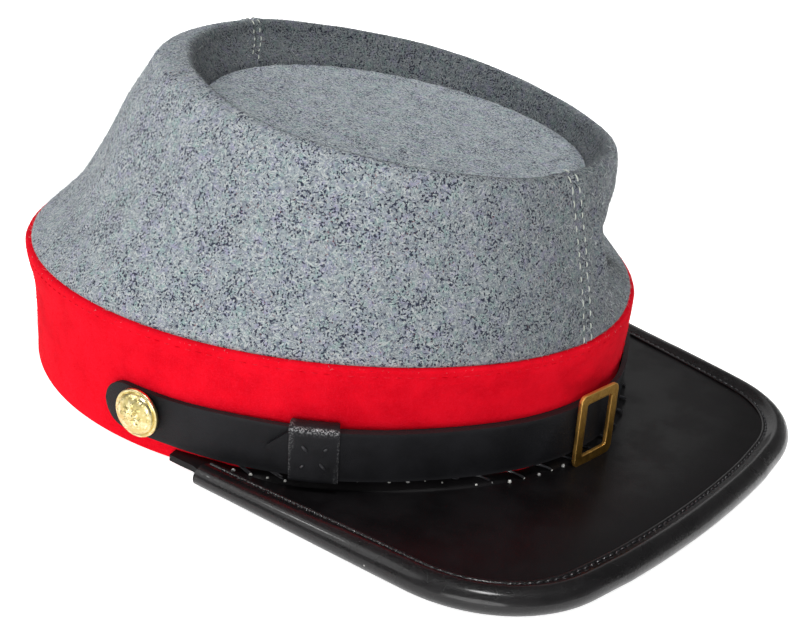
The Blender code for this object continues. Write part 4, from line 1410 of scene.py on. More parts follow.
def make_keeper_stitches(leather):
    """Four threads that cross in an X on the keeper's front, two of them reaching further in."""
    rows = bmesh.new()
    middle = (RIGHT_STRAP_HEIGHT + LEFT_STRAP_HEIGHT) / 2.0 + KEEPER_STITCH_UP
    outer, far_in, near_in = KEEPER_STITCH_ENDS
    for side, up in ((-1.0, 1.0), (1.0, 1.0), (-1.0, -1.0), (1.0, -1.0)):
        ends = []
        for reach in (outer, far_in if side * up < 0.0 else near_in):
            angle = KEEPER_ANGLE + band_turn(side * reach)
            front = keeper_stack(angle) + STRAP_GAP + KEEPER_THICKNESS + 0.05 * MM
            ends.append(band_point(angle, middle + up * reach * 1.05, front))
        lay_stitch(rows, *ends, outward(KEEPER_ANGLE), *KEEPER_THREAD)
    add_piece("keeper_stitches", rows, waxed_thread(leather), rejoin=False)


# ---- node tools


def add_node(tree, kind, inputs=(), **settings):
    """Adds a node; inputs maps a socket to a value or to another node's output."""
    made = tree.nodes.new(kind)
    for name, value in settings.items():
        setattr(made, name, value)
    for socket, value in dict(inputs).items():
        if isinstance(value, bpy.types.NodeSocket):
            tree.links.new(value, made.inputs[socket])
        else:
            made.inputs[socket].default_value = value
    return made


def calculate(tree, operation, *values):
    return add_node(tree, "ShaderNodeMath", dict(enumerate(values)), operation=operation).outputs[0]


def move_vector(tree, operation, *values):
    return add_node(tree, "ShaderNodeVectorMath", dict(enumerate(values)), operation=operation).outputs[0]


def scale_vector(tree, vector, share):
    return add_node(tree, "ShaderNodeVectorMath", {0: vector, "Scale": share}, operation="SCALE").outputs[0]


def blend_colours(tree, share, *colours):
    """A blend of two colours, each given as a value or as another node's output."""
    first, second = (
        value if isinstance(value, bpy.types.NodeSocket) else (*value, 1.0) for value in colours
    )
    return add_node(tree, "ShaderNodeMix", {0: share, 6: first, 7: second}, data_type="RGBA").outputs[2]


def lay_over(tree, base, mask, share, colour):
    """The base with a colour over it where a mask is, at a share of the mask's strength."""
    return blend_colours(tree, calculate(tree, "MULTIPLY", mask, share), base, colour)


def toned(colour, *shares):
    """A colour with its parts multiplied, all by one share or each by its own, and none above 1."""
    return [min(1.0, part * share) for part, share in zip(colour, shares * (3 // len(shares)))]


def remap(tree, value, low, high, to_low=0.0, to_high=1.0):
    inputs = {"Value": value, "From Min": low, "From Max": high, "To Min": to_low, "To Max": to_high}
    return add_node(tree, "ShaderNodeMapRange", inputs, interpolation_type="SMOOTHSTEP").outputs[0]


def over(tree, size, count=1.0):
    """The scale at which a pattern has a number of features to a size."""
    return calculate(tree, "DIVIDE", count, size) if isinstance(size, bpy.types.NodeSocket) else count / size


def noise_outputs(tree, vector, size, detail=1.0, roughness=0.5, count=1.0):
    """The outputs of a noise with features of a size, or with a number of them to it."""
    inputs = {"Vector": vector, "Scale": over(tree, size, count), "Detail": detail, "Roughness": roughness}
    return add_node(tree, "ShaderNodeTexNoise", inputs).outputs


def drifted(tree, vector, size, reach, detail, count):
    """The vector pushed about by noise, so that a pattern on it never runs quite straight."""
    drift = noise_outputs(tree, vector, size, detail, count=count)["Color"]
    centred = move_vector(tree, "SUBTRACT", drift, (0.5, 0.5, 0.5))
    return move_vector(tree, "ADD", vector, scale_vector(tree, centred, reach))


def stored(tree, attribute):
    """A number that the piece stores at its corners."""
    return add_node(tree, "ShaderNodeAttribute", attribute_name=attribute).outputs["Fac"]


def new_group(name, outputs, **numbers):
    """An empty node group that takes a vector and named numbers and gives named numbers."""
    tree = bpy.data.node_groups.new(name, "ShaderNodeTree")
    tree.interface.new_socket("Vector", in_out="INPUT", socket_type="NodeSocketVector")
    for label, default in numbers.items():
        socket = tree.interface.new_socket(label, in_out="INPUT", socket_type="NodeSocketFloat")
        socket.default_value = default
    for label in outputs:
        tree.interface.new_socket(label, in_out="OUTPUT", socket_type="NodeSocketFloat")
    return tree, tree.nodes.new("NodeGroupInput").outputs, tree.nodes.new("NodeGroupOutput").inputs


def use_group(tree, group, vector, **numbers):
    return add_node(tree, "ShaderNodeGroup", {"Vector": vector, **numbers}, node_tree=group).outputs


@functools.cache
def fibre_group():
    """Fibres that cross at many angles and never run quite straight: a mask of them."""
    tree, given, gives = new_group(
        "Crossed Fibres", ["Mask"], Length=0.002, Width=0.0002, Wander=0.001, Low=0.6, High=0.7
    )
    wandering = drifted(tree, given["Vector"], given["Length"], given["Wander"], 0.0, 0.9)
    along, across = over(tree, given["Length"]), over(tree, given["Width"])
    stretch = add_node(tree, "ShaderNodeCombineXYZ", {0: along, 1: across, 2: across}).outputs[0]
    mask = None
    turns = (
        (0.0, 0.2, 0.1), (0.3, 1.1, 0.9), (1.2, 0.4, 1.9), (0.8, 2.0, 2.6), (2.1, 1.4, 0.6), (1.7, 2.6, 1.3),
    )
    for number, turn in enumerate(turns):
        inputs = {"Vector": wandering, "Rotation": turn, "Location": (0.37 * number, 0.0, 0.11 * number)}
        turned = add_node(tree, "ShaderNodeMapping", inputs, vector_type="POINT").outputs[0]
        streaks = noise_outputs(tree, move_vector(tree, "MULTIPLY", turned, stretch), 1.0, 0.0)["Fac"]
        mask = streaks if mask is None else calculate(tree, "MAXIMUM", mask, streaks)
    tree.links.new(remap(tree, mask, given["Low"], given["High"]), gives["Mask"])
    return tree


@functools.cache
def patch_group():
    """Small marks that crowd in patches and thin out between them."""
    tree, given, gives = new_group(
        "Patchy Marks", ["Mask"], Mark=0.0008, Patch=0.006, Few=0.68, Many=0.5, Softness=0.05
    )
    patch = noise_outputs(tree, given["Vector"], given["Patch"], 1.5, 0.6)["Fac"]
    crowd = remap(tree, patch, 0.36, 0.66)
    marks = noise_outputs(tree, given["Vector"], given["Mark"], 1.2, 0.45)["Fac"]
    spread = calculate(tree, "SUBTRACT", given["Many"], given["Few"])
    edge = calculate(tree, "MULTIPLY_ADD", crowd, spread, given["Few"])
    mask = remap(tree, marks, edge, calculate(tree, "ADD", edge, given["Softness"]))
    tree.links.new(mask, gives["Mask"])
    return tree


@functools.cache
def grain_group():
    """Leather grain: small rounded cells with fine creases, and slow waves of tone."""
    tree, given, gives = new_group("Leather Grain", ["Height", "Tone"], Grain=0.0004, Tone=0.012)
    cells = add_node(
        tree, "ShaderNodeTexVoronoi",
        {
            "Vector": drifted(tree, given["Vector"], given["Grain"], given["Grain"], 1.0, 0.5),
            "Scale": over(tree, given["Grain"]),
        },
        feature="DISTANCE_TO_EDGE",
    ).outputs["Distance"]
    rounded = calculate(tree, "MULTIPLY", remap(tree, cells, 0.0, 0.32), 0.65)
    pores = noise_outputs(tree, given["Vector"], given["Grain"], 2.0, 0.6, count=3.0)["Fac"]
    tone = noise_outputs(tree, given["Vector"], given["Tone"], 3.0, 0.6)["Fac"]
    tree.links.new(calculate(tree, "MULTIPLY_ADD", pores, 0.35, rounded), gives["Height"])
    tree.links.new(remap(tree, tone, 0.3, 0.7), gives["Tone"])
    return tree


@functools.cache
def lint_group():
    """Stray specks, each in its own cell, most cells having none."""
    tree, given, gives = new_group("Lint Specks", ["Mask"], Spacing=0.006, Speck=0.05, Share=0.3)
    cells = add_node(
        tree, "ShaderNodeTexVoronoi", {"Vector": given["Vector"], "Scale": over(tree, given["Spacing"])}
    ).outputs
    picked = add_node(tree, "ShaderNodeSeparateColor", {0: cells["Color"]}).outputs
    size = calculate(tree, "MULTIPLY", given["Speck"], picked[1])
    near = calculate(tree, "LESS_THAN", cells["Distance"], size)
    has = calculate(tree, "LESS_THAN", picked[0], given["Share"])
    tree.links.new(calculate(tree, "MULTIPLY", near, has), gives["Mask"])
    return tree


@functools.cache
def tarnish_group():
    """Cloudy tarnish with darker pits and fine scratches."""
    tree, given, gives = new_group("Brass Tarnish", ["Cloud", "Scratch"], Cloud=0.003, Scratch=0.0003)
    cloud = noise_outputs(tree, given["Vector"], given["Cloud"], 4.0, 0.65)["Fac"]
    scale = over(tree, given["Scratch"])
    longer = calculate(tree, "MULTIPLY", scale, 0.12)
    stretch = add_node(tree, "ShaderNodeCombineXYZ", {0: scale, 1: longer, 2: scale}).outputs[0]
    lines = noise_outputs(tree, move_vector(tree, "MULTIPLY", given["Vector"], stretch), 1.0, 2.0)["Fac"]
    tree.links.new(remap(tree, cloud, 0.32, 0.68), gives["Cloud"])
    tree.links.new(remap(tree, lines, 0.45, 0.7), gives["Scratch"])
    return tree


# ---- materials


def new_material(name, roughness, metallic=0.0, **sockets):
    """A material with one Principled shader, whose constant values sit on its own sockets."""
    material = bpy.data.materials.new(name)
    material.use_nodes = True
    tree = material.node_tree
    shader = tree.nodes["Principled BSDF"]
    shader.inputs["Roughness"].default_value = roughness
    shader.inputs["Metallic"].default_value = metallic
    for socket, value in sockets.items():
        shader.inputs[socket.replace("_", " ")].default_value = value
    place = tree.nodes.new("ShaderNodeTexCoord").outputs["Object"]
    return material, tree, shader, place


def set_bump(tree, shader, height, strength, distance):
    """Bumps the shader's surface, on top of any bump that it has already."""
    inputs = {"Height": height, "Strength": strength, "Distance": distance}
    for link in shader.inputs["Normal"].links:
        inputs["Normal"] = link.from_socket
    bump = add_node(tree, "ShaderNodeBump", inputs)
    tree.links.new(bump.outputs[0], shader.inputs["Normal"])


@functools.cache
def grey_wool(cloth):
    """Mixed wool: a mottled ground, slow tints, navy and rusty flecks that crowd in patches, pale fibres, all
    scaled by the painted light stored at the corners.
    """
    material, tree, shader, place = new_material(
        "grey wool", 0.95, Sheen_Weight=0.1, Sheen_Roughness=0.6, Specular_IOR_Level=0.08
    )
    clouds = noise_outputs(tree, place, 3.2 * MM, 4.0, 0.75)["Color"]
    tints = add_node(tree, "ShaderNodeSeparateColor", {0: clouds}).outputs
    darker, paler = toned(cloth.crown, 0.86), toned(cloth.crown, 1.16)
    base = blend_colours(tree, remap(tree, tints[0], 0.35, 0.65), darker, paler)
    for number, tint in enumerate(((1.02, 0.86, 1.2), (0.82, 1.09, 0.97)), 1):
        share = remap(tree, tints[number], 0.48, 0.66, 0.0, 0.85)
        base = blend_colours(tree, share, base, toned(cloth.crown, *tint))
    ground = noise_outputs(tree, place, 1.0 * MM, 2.5, 0.55)["Fac"]
    deep = toned(cloth.crown, 0.5, 0.52, 0.62)
    base = blend_colours(tree, remap(tree, ground, 0.54, 0.33, 0.0, 0.95), base, deep)
    pale = use_group(
        tree, fibre_group(), place, Length=cloth.fibre_length, Width=cloth.fibre_width, Wander=2.2 * MM,
        Low=0.695, High=0.755,
    )["Mask"]
    base = lay_over(tree, base, pale, 0.7, cloth.pale_fibre)
    flecks = use_group(
        tree, patch_group(), place, Mark=cloth.fleck_size, Patch=cloth.fleck_patch,
        Few=0.622, Many=0.538, Softness=0.048,
    )["Mask"]
    base = lay_over(tree, base, flecks, 0.95, cloth.dark_fibre)
    rusty = use_group(
        tree, patch_group(), move_vector(tree, "ADD", place, (3.1, 1.7, 0.4)),
        Mark=cloth.fleck_size * 1.1, Patch=11.0 * MM, Few=0.76, Many=0.66, Softness=0.05,
    )["Mask"]
    base = lay_over(tree, base, rusty, 0.5, cloth.rust_fibre)
    # The colour is scaled by the painted light at the corners: painted shade in the recess and behind the
    # fold, a paler sunken top, a darker front.
    tree.links.new(scale_vector(tree, base, stored(tree, "lie")), shader.inputs["Base Color"])
    felt = noise_outputs(tree, place, 0.5 * MM, 3.0, 0.65)["Fac"]
    height = calculate(tree, "MULTIPLY_ADD", pale, 0.6, felt)
    height = calculate(tree, "MULTIPLY_ADD", flecks, -0.4, height)
    set_bump(tree, shader, height, 0.5, 0.35 * MM)
    return material


@functools.cache
def red_wool(cloth):
    """The band's felted wool: slow changes of shade under a fine fuzz."""
    material, tree, shader, place = new_material(
        "red wool", 0.92, Sheen_Weight=0.06, Sheen_Tint=(1.0, 0.08, 0.14, 1.0), Specular_IOR_Level=0.03
    )
    clouds = noise_outputs(tree, place, 9.0 * MM, 3.0, 0.6)["Fac"]
    red, green, blue = cloth.band
    bright = (min(red * 1.06, 1.0), green + 0.002, blue + 0.004)
    base = blend_colours(tree, remap(tree, clouds, 0.3, 0.7), toned(cloth.band, 0.9), bright)
    fuzz = use_group(
        tree, fibre_group(), place, Length=1.3 * MM, Width=0.2 * MM, Wander=1.2 * MM, Low=0.6, High=0.78
    )["Mask"]
    base = lay_over(tree, base, fuzz, 0.16, (0.9, 0.03, 0.07))
    tree.links.new(base, shader.inputs["Base Color"])
    felt = noise_outputs(tree, place, 0.55 * MM, 3.0, 0.6)["Fac"]
    set_bump(tree, shader, calculate(tree, "MULTIPLY_ADD", fuzz, 0.5, felt), 0.35, 0.25 * MM)
    return material


def leather_surface(name, colour, leather, roughness, grain, bump, lint_share, **sockets):
    """Black leather: grain, slow changes of tone and gloss, and specks of lint."""
    material, tree, shader, place = new_material(name, roughness, **sockets)
    surface = use_group(tree, grain_group(), place, Grain=grain, Tone=13.0 * MM)
    tone = blend_colours(tree, surface["Tone"], toned(colour, 0.75), toned(colour, 1.35))
    lint = use_group(tree, lint_group(), place, Spacing=4.5 * MM, Speck=0.07, Share=lint_share)["Mask"]
    base = lay_over(tree, tone, lint, 0.8, leather.lint)
    dull = remap(tree, surface["Tone"], 0.0, 1.0, roughness - 0.05, roughness + 0.07)
    tree.links.new(dull, shader.inputs["Roughness"])
    set_bump(tree, shader, surface["Height"], bump, 0.12 * MM)
    return material, tree, shader, base, place


@functools.cache
def peak_leather(leather):
    material, tree, shader, base, _ = leather_surface(
        "peak leather", leather.peak, leather, 0.4, leather.grain * 1.3, 0.14, 0.3, Specular_IOR_Level=0.13
    )
    tree.links.new(base, shader.inputs["Base Color"])
    return material


@functools.cache
def roll_leather(leather):
    """The binding's thinner leather, glossier, with fine wrinkles across the roll."""
    material, tree, shader, base, place = leather_surface(
        "binding leather", leather.peak, leather, 0.3, leather.grain, 0.4, 0.1, Specular_IOR_Level=0.22,
        Coat_Weight=0.55, Coat_Roughness=0.13, Coat_IOR=1.42,
    )
    tree.links.new(base, shader.inputs["Base Color"])
    wrinkles = noise_outputs(tree, place, 1.3 * MM, 4.0, 0.75)["Fac"]
    set_bump(tree, shader, wrinkles, 0.45, 0.3 * MM)
    return material


@functools.cache
def strap_leather(leather):
    material, tree, shader, base, _ = leather_surface(
        "strap leather", leather.strap, leather, 0.5, leather.grain, 0.5, 0.12, Specular_IOR_Level=0.14
    )
    base = lay_over(tree, base, stored(tree, "wear"), 0.75, leather.edge)
    tree.links.new(base, shader.inputs["Base Color"])
    return material


@functools.cache
def keeper_leather(leather):
    """The strap's leather, worn along the upper fold to a broken shine, its pale colour partly painted shine;
    the same pale colour paints highlights along the side edges.
    """
    material, tree, shader, base, place = leather_surface(
        "keeper leather", leather.strap, leather, 0.5, leather.grain, 0.4, 0.1, Specular_IOR_Level=0.18
    )
    wear = stored(tree, "wear")
    broken = noise_outputs(tree, place, 0.45 * MM, 3.0, 0.7)["Fac"]
    rubbed = calculate(tree, "MULTIPLY", wear, remap(tree, broken, 0.47, 0.6))
    shine = calculate(tree, "MULTIPLY", rubbed, 0.9)
    # Where worn the leather is made pale: partly real wear, partly painted shine and painted edge highlights;
    # the same mask sets the coat's real gloss.
    base = blend_colours(tree, shine, base, (0.55, 0.55, 0.56))
    tree.links.new(base, shader.inputs["Base Color"])
    tree.links.new(shine, shader.inputs["Coat Weight"])
    set_bump(tree, shader, calculate(tree, "MULTIPLY", wear, broken), 0.6, 0.4 * MM)
    return material


def thread_material(name, colour, roughness, lighter, gloss):
    """Twisted thread: fine slanting plies as bump, and a slow change of shade."""
    material, tree, shader, place = new_material(name, roughness, Specular_IOR_Level=gloss)
    shade = noise_outputs(tree, place, 2.5 * MM, 2.0)["Fac"]
    base = blend_colours(tree, remap(tree, shade, 0.35, 0.65), colour, lighter)
    tree.links.new(base, shader.inputs["Base Color"])
    plies = add_node(
        tree, "ShaderNodeTexWave",
        {"Vector": place, "Scale": over(tree, 1.6 * MM), "Distortion": 1.5}, bands_direction="DIAGONAL",
    ).outputs["Fac"]
    set_bump(tree, shader, plies, 0.3, 0.08 * MM)
    return material


@functools.cache
def seam_thread(seams):
    return thread_material("seam thread", seams.thread, 0.7, toned(seams.thread, 1.2), 0.25)


@functools.cache
def red_thread(cloth):
    red, green, blue = cloth.band
    lighter = (red, green + 0.02, blue + 0.03)
    return thread_material("red thread", toned(cloth.band, 0.8), 0.9, lighter, 0.0)


@functools.cache
def waxed_thread(leather):
    return thread_material("waxed thread", leather.thread, 0.3, toned(leather.thread, 1.6), 0.8)


@functools.cache
def knot_thread():
    """Waxed thread where it is pulled tight, made pale and shiny as a painted glint."""
    return thread_material("rubbed thread", (0.34, 0.34, 0.34), 0.25, (0.7, 0.7, 0.66), 0.8)


@functools.cache
def aged_brass(metal):
    """Dull bronze-brown faces, rubbed bright along the rounded edges."""
    material, tree, shader, place = new_material("aged brass", 0.5, 1.0)
    marks = use_group(tree, tarnish_group(), place, Cloud=3.2 * MM, Scratch=0.35 * MM)
    face = blend_colours(tree, marks["Cloud"], toned(metal.buckle, 0.72), metal.buckle)
    base = lay_over(tree, face, stored(tree, "wear"), 0.8, metal.worn)
    tree.links.new(base, shader.inputs["Base Color"])
    tree.links.new(remap(tree, marks["Cloud"], 0.0, 1.0, 0.58, 0.42), shader.inputs["Roughness"])
    set_bump(tree, shader, calculate(tree, "ADD", marks["Cloud"], marks["Scratch"]), 0.4, 0.1 * MM)
    return material


@functools.cache
def pale_brass(metal):
    material, tree, shader, place = new_material("pale brass", 0.3, 1.0)
    marks = use_group(tree, tarnish_group(), place, Cloud=2.4 * MM, Scratch=0.3 * MM)
    dark = toned(metal.button, 0.74, 0.7, 0.5)
    base = blend_colours(tree, remap(tree, marks["Cloud"], 0.3, 1.0), dark, metal.button)
    tree.links.new(base, shader.inputs["Base Color"])
    tree.links.new(remap(tree, marks["Cloud"], 0.0, 1.0, 0.42, 0.26), shader.inputs["Roughness"])
    set_bump(tree, shader, marks["Scratch"], 0.15, 0.05 * MM)
    return material


def plain_fibre(name, colour):
    """One dye shade of loose fibre, too thin for a pattern of its own."""
    return new_material(name, 0.8, Specular_IOR_Level=0.05, Base_Color=(*colour, 1.0))[0]


# ---- nap


def spike(name, length, thickness, colour):
    """The pattern for one fibre: a closed spindle of three sides in one dye shade."""
    bm = bmesh.new()
    bmesh.ops.create_cone(
        bm, cap_ends=True, segments=3, radius1=thickness / 2.0, radius2=0.0, depth=length
    )
    bmesh.ops.translate(bm, verts=bm.verts, vec=UP * (length / 2.0))
    mesh = take_mesh(name, bm)
    mesh.materials.append(plain_fibre(name.replace("_", " "), colour))
    return bpy.data.objects.new(name, mesh)


def scatter_modifier(name, spikes, shares, density, seed):
    """Geometry nodes that strew fibres over a surface, lying down in all directions."""
    tree = bpy.data.node_groups.new(name, "GeometryNodeTree")
    for way in ("INPUT", "OUTPUT"):
        tree.interface.new_socket("Geometry", in_out=way, socket_type="NodeSocketGeometry")
    surface = tree.nodes.new("NodeGroupInput").outputs[0]
    result = tree.nodes.new("NodeGroupOutput").inputs[0]
    joined = tree.nodes.new("GeometryNodeJoinGeometry")
    steep, flat = NAP_LEAN
    short, long = NAP_SIZES
    for number, (fibre, share) in enumerate(zip(spikes, shares)):
        spots = add_node(
            tree, "GeometryNodeDistributePointsOnFaces",
            {"Mesh": surface, "Density": density * share, "Seed": seed + number},
            distribute_method="RANDOM",
        ).outputs
        turn = add_node(
            tree, "FunctionNodeRandomValue",
            {0: (steep, 0.0, 0.0), 1: (flat, 0.0, 2.0 * math.pi), "Seed": seed + 20 + number},
            data_type="FLOAT_VECTOR",
        ).outputs[0]
        euler = add_node(tree, "FunctionNodeEulerToRotation", {0: turn}).outputs[0]
        laid = add_node(
            tree, "FunctionNodeRotateRotation", {0: spots["Rotation"], 1: euler}, rotation_space="LOCAL"
        ).outputs[0]
        size = add_node(
            tree, "FunctionNodeRandomValue",
            {2: short, 3: long, "Seed": seed + 40 + number}, data_type="FLOAT",
        ).outputs[1]
        source = add_node(tree, "GeometryNodeObjectInfo", {"Object": fibre, "As Instance": True})
        copies = add_node(
            tree, "GeometryNodeInstanceOnPoints",
            {
                "Points": spots["Points"],
                "Instance": source.outputs["Geometry"],
                "Rotation": laid,
                "Scale": size,
            },
        ).outputs[0]
        real = add_node(tree, "GeometryNodeRealizeInstances", {0: copies}).outputs[0]
        tree.links.new(real, joined.inputs[0])
    tree.links.new(joined.outputs[0], result)
    return tree


def make_nap(name, source, spikes, shares, density, seed, grows_where):
    """Loose fibres over the outer faces of a finished piece, as one mesh."""
    bm = bmesh.new()
    bm.from_mesh(bpy.data.objects[source].data)
    hidden = [face for face in bm.faces if not grows_where(face)]
    bmesh.ops.delete(bm, geom=hidden, context="FACES")
    ground = place_object(name, take_mesh(name, bm))
    strew = ground.modifiers.new("nap", "NODES")
    strew.node_group = scatter_modifier(name, spikes, shares, density, seed)
    graph = bpy.context.evaluated_depsgraph_get()
    grown = bpy.data.meshes.new_from_object(ground.evaluated_get(graph), depsgraph=graph)
    ground.modifiers.clear()
    ground.data = grown
    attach(ground, "root")


def faces_out(face):
    """Whether a face of the crown or the band looks away from the cap's inside."""
    middle = face.calc_center_median()
    if middle.z < NAP_LOWEST:
        return False
    if middle.z < BAND_HEIGHT + 0.1 * MM:
        return face.normal.dot(Vector((middle.x, middle.y, 0.0)).normalized()) > 0.5
    if face.normal.z > 0.35:
        return (middle - CROWN_CORE).dot(face.normal) > 0.0
    widest, lowest = RECESS_WALL
    lip = tilted_oval(0.0, 0.0, 0.0, 0.0, 0.0)
    level = math.hypot(middle.x, middle.y - lip.y)
    facing = face.normal.dot(Vector((middle.x, middle.y - lip.y, 0.0)).normalized())
    inner_wall = level < widest and middle.z > lowest and facing < -0.2
    return inner_wall or facing > 0.1


def at_band_edge(face):
    return faces_out(face) and face.calc_center_median().z > BAND_HEIGHT - EDGE_NAP_DEPTH


def grow_nap(cloth):
    """Mixed grey fibres on the crown, short ones at the band's top edge and red ones on the band."""
    long, thick = cloth.nap_length, cloth.nap_thickness
    per_metre = cloth.nap_density * 1e4
    greys = [
        spike("pale_fibre", long * 1.2, thick, cloth.pale_fibre),
        spike("grey_fibre", long, thick, cloth.crown),
        spike("navy_fibre", long * 0.8, thick * 1.3, cloth.dark_fibre),
    ]
    for number, name in enumerate(("crown_panel_right", "crown_panel_left", "crown_top_cloth")):
        seed = 3 + 7 * number
        make_nap(f"nap_{name}", name, greys, NAP_SHARES, per_metre, seed, faces_out)
    fringe = [
        spike("short_grey_fibre", long * 0.4, thick, cloth.crown),
        spike("short_navy_fibre", long * 0.4, thick, cloth.dark_fibre),
    ]
    make_nap("nap_band_edge", "band_cloth", fringe, (0.6, 0.4), per_metre, 40, at_band_edge)
    reds = [spike("red_fibre", long * 0.7, thick, (0.85, 0.004, 0.016))]
    make_nap("nap_band", "band_cloth", reds, (1.0,), per_metre * 0.6, 31, faces_out)


# ---- stage


def look_from(azimuth, elevation):
    """The direction from the cap towards a place seen at an azimuth and an elevation."""
    level = math.cos(elevation)
    return Vector((math.sin(azimuth) * level, -math.cos(azimuth) * level, math.sin(elevation)))


def make_camera(stage):
    back = look_from(CAMERA_AZIMUTH, CAMERA_ELEVATION)
    level = Vector((math.cos(CAMERA_AZIMUTH), math.sin(CAMERA_AZIMUTH), 0.0))
    right = level * math.cos(CAMERA_ROLL) + back.cross(level) * math.sin(CAMERA_ROLL)
    place = Matrix((right, back.cross(right), back)).transposed().to_4x4()
    place.translation = CAMERA_TARGET + back * CAMERA_DISTANCE
    lens = bpy.data.cameras.new("camera")
    lens.lens = stage.lens
    lens.sensor_width = 36.0
    lens.clip_start = 10.0 * MM
    camera = place_object("camera", lens)
    camera.matrix_world = place
    bpy.context.scene.camera = camera


def make_floor(stage):
    """A pale floor just under the cap, which glows so that it looks white to the camera."""
    floor = bmesh.new()
    bmesh.ops.create_grid(floor, x_segments=8, y_segments=8, size=6.0)
    bmesh.ops.translate(floor, verts=floor.verts, vec=Vector((0.0, 0.0, -0.02 * MM)))
    mesh = take_mesh("floor", floor)
    material, tree, shader, _ = new_material(
        "pale floor", 0.85, Specular_IOR_Level=0.1, Emission_Strength=1.0, Base_Color=(*stage.floor, 1.0)
    )
    seen = tree.nodes.new("ShaderNodeLightPath").outputs["Is Camera Ray"]
    glow = calculate(tree, "MAXIMUM", calculate(tree, "MULTIPLY", seen, 0.85), stage.glow)
    tree.links.new(glow, shader.inputs["Emission Color"])
    mesh.materials.append(material)
    thing = place_object("floor", mesh)


def add_light(name, kind, azimuth, elevation, energy, **settings):
    """A light one metre from the cap, seen from it at an azimuth and an elevation."""
    data = bpy.data.lights.new(name, kind)
    data.energy = energy
    for setting, value in settings.items():
        setattr(data, setting, value)
    light = place_object(name, data)
    towards = look_from(math.radians(azimuth), math.radians(elevation))
    light.rotation_mode = "QUATERNION"
    light.rotation_quaternion = towards.to_track_quat("Z", "Y")
    light.visible_camera = False
    light.location = LIGHT_CENTRE + towards


def make_world(stage):
    """Even light from all round, against a backdrop that looks white."""
    world = bpy.data.worlds.new("studio")
    world.use_nodes = True
    sky = world.node_tree.nodes["Background"]
    sky.inputs["Color"].default_value = (1.0, 1.0, 1.0, 1.0)
    seen = world.node_tree.nodes.new("ShaderNodeLightPath").outputs["Is Camera Ray"]
    strength = calculate(world.node_tree, "MAXIMUM", seen, stage.sky)
    world.node_tree.links.new(strength, sky.inputs["Strength"])
    bpy.context.scene.world = world


def make_lights(stage):
    for name, azimuth, elevation, wide in SUNS:
        add_light(name, "SUN", azimuth, elevation, getattr(stage, name), angle=math.radians(wide))
    for name, azimuth, elevation, share, size in GLOSS_LIGHTS:
        add_light(name, "AREA", azimuth, elevation, share * stage.gloss, shape="DISK", size=size)
    make_world(stage)
    bpy.context.scene.view_settings.view_transform = "Standard"


# ---- add-on


class KEPI_OT_crown(bpy.types.Operator):
    """Make the crown's two side panels and its sunken top"""

    bl_idname = "kepi.crown"
    bl_label = "Crown"

    def execute(self, context):
        cloth = context.scene.kepi_cloth
        make_crown_panel("crown_panel_right", False, cloth)
        make_crown_panel("crown_panel_left", True, cloth)
        make_crown_top(cloth)
        return {"FINISHED"}


class KEPI_OT_band(bpy.types.Operator):
    """Make the red band with its folded edges"""

    bl_idname = "kepi.band"
    bl_label = "Band"

    def execute(self, context):
        make_band(context.scene.kepi_cloth)
        return {"FINISHED"}


class KEPI_OT_peak(bpy.types.Operator):
    """Make the leather peak and the binding rolled round its edge"""

    bl_idname = "kepi.peak"
    bl_label = "Peak"

    def execute(self, context):
        leather = context.scene.kepi_leather
        make_peak(leather)
        make_binding(leather)
        return {"FINISHED"}


class KEPI_OT_strap(bpy.types.Operator):
    """Make the two chin straps and their keeper"""

    bl_idname = "kepi.strap"
    bl_label = "Chin strap"

    def execute(self, context):
        leather = context.scene.kepi_leather
        make_chin_strap(leather)
        make_keeper(leather)
        return {"FINISHED"}


class KEPI_OT_metal(bpy.types.Operator):
    """Make the buckle and the two buttons"""

    bl_idname = "kepi.metal"
    bl_label = "Buckle and buttons"

    def execute(self, context):
        metal = context.scene.kepi_metal
        make_buckle(metal)
        make_button("button_face_right", -BUTTON_ANGLE, metal, ["button_right"])
        make_button("button_face_left", BUTTON_ANGLE, metal, ["button_left"])
        return {"FINISHED"}


class KEPI_OT_stitches(bpy.types.Operator):
    """Sew the crown's seams, the hem, the binding, the peak's root and the keeper"""

    bl_idname = "kepi.stitches"
    bl_label = "Stitches"

    def execute(self, context):
        scene = context.scene
        make_seam_stitches(scene.kepi_cloth, scene.kepi_seams)
        make_hem_stitches(scene.kepi_cloth)
        make_binding_stitches(scene.kepi_leather)
        make_root_stitches(scene.kepi_leather)
        make_keeper_stitches(scene.kepi_leather)
        return {"FINISHED"}


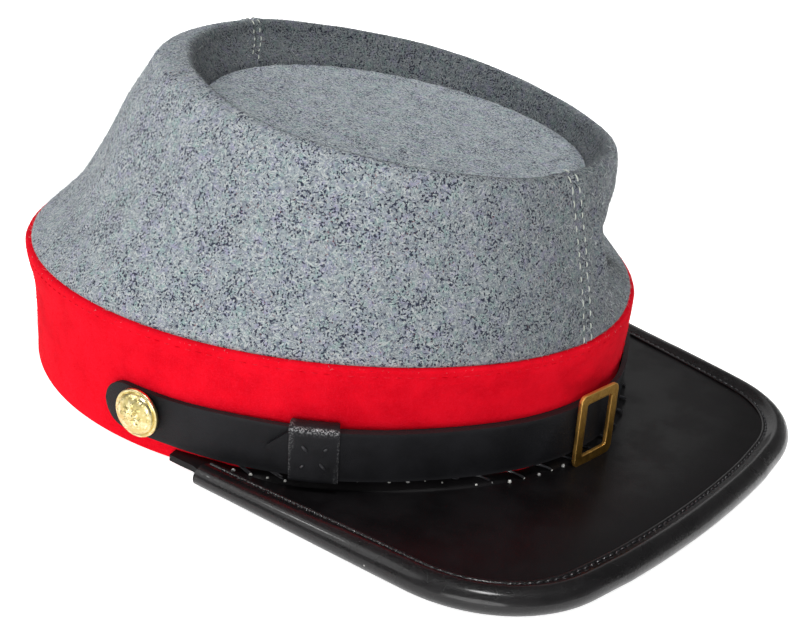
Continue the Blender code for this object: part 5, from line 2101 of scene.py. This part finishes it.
class KEPI_OT_nap(bpy.types.Operator):
    """Grow the loose fibres that stand on the wool"""

    bl_idname = "kepi.nap"
    bl_label = "Nap"

    def execute(self, context):
        grow_nap(context.scene.kepi_cloth)
        return {"FINISHED"}


class KEPI_OT_stage(bpy.types.Operator):
    """Set the floor, the lights and the camera"""

    bl_idname = "kepi.stage"
    bl_label = "Stage"

    def execute(self, context):
        stage = context.scene.kepi_stage
        make_floor(stage)
        make_lights(stage)
        make_camera(stage)
        return {"FINISHED"}


STEPS = (
    KEPI_OT_stage, KEPI_OT_crown, KEPI_OT_band, KEPI_OT_peak, KEPI_OT_strap, KEPI_OT_metal,
    KEPI_OT_stitches, KEPI_OT_nap,
)
SETTINGS = {
    "kepi_cloth": KepiCloth,
    "kepi_leather": KepiLeather,
    "kepi_metal": KepiMetal,
    "kepi_seams": KepiSeams,
    "kepi_stage": KepiStage,
}


class KEPI_PT_panel(bpy.types.Panel):
    """Lists the cap's settings and the steps that make it"""

    bl_label = "Kepi Cap"
    bl_idname = "KEPI_PT_panel"
    bl_space_type = "VIEW_3D"
    bl_region_type = "UI"
    bl_category = "Kepi"

    def draw(self, context):
        for step in STEPS:
            self.layout.operator(step.bl_idname)
        for name, group in SETTINGS.items():
            box = self.layout.box()
            for setting in group.__annotations__:
                box.prop(getattr(context.scene, name), setting)


def register():
    for group in (*SETTINGS.values(), *STEPS, KEPI_PT_panel):
        bpy.utils.register_class(group)
    for name, group in SETTINGS.items():
        setattr(bpy.types.Scene, name, PointerProperty(type=group))


def unregister():
    for name in SETTINGS:
        delattr(bpy.types.Scene, name)
    for group in (KEPI_PT_panel, *reversed(STEPS), *reversed(SETTINGS.values())):
        bpy.utils.unregister_class(group)


def main():
    register()
    bpy.ops.kepi.stage()
    bpy.ops.kepi.crown()
    bpy.ops.kepi.band()
    bpy.ops.kepi.peak()
    bpy.ops.kepi.strap()
    bpy.ops.kepi.metal()
    bpy.ops.kepi.stitches()
    bpy.ops.kepi.nap()


if __name__ == "__main__":
    main()
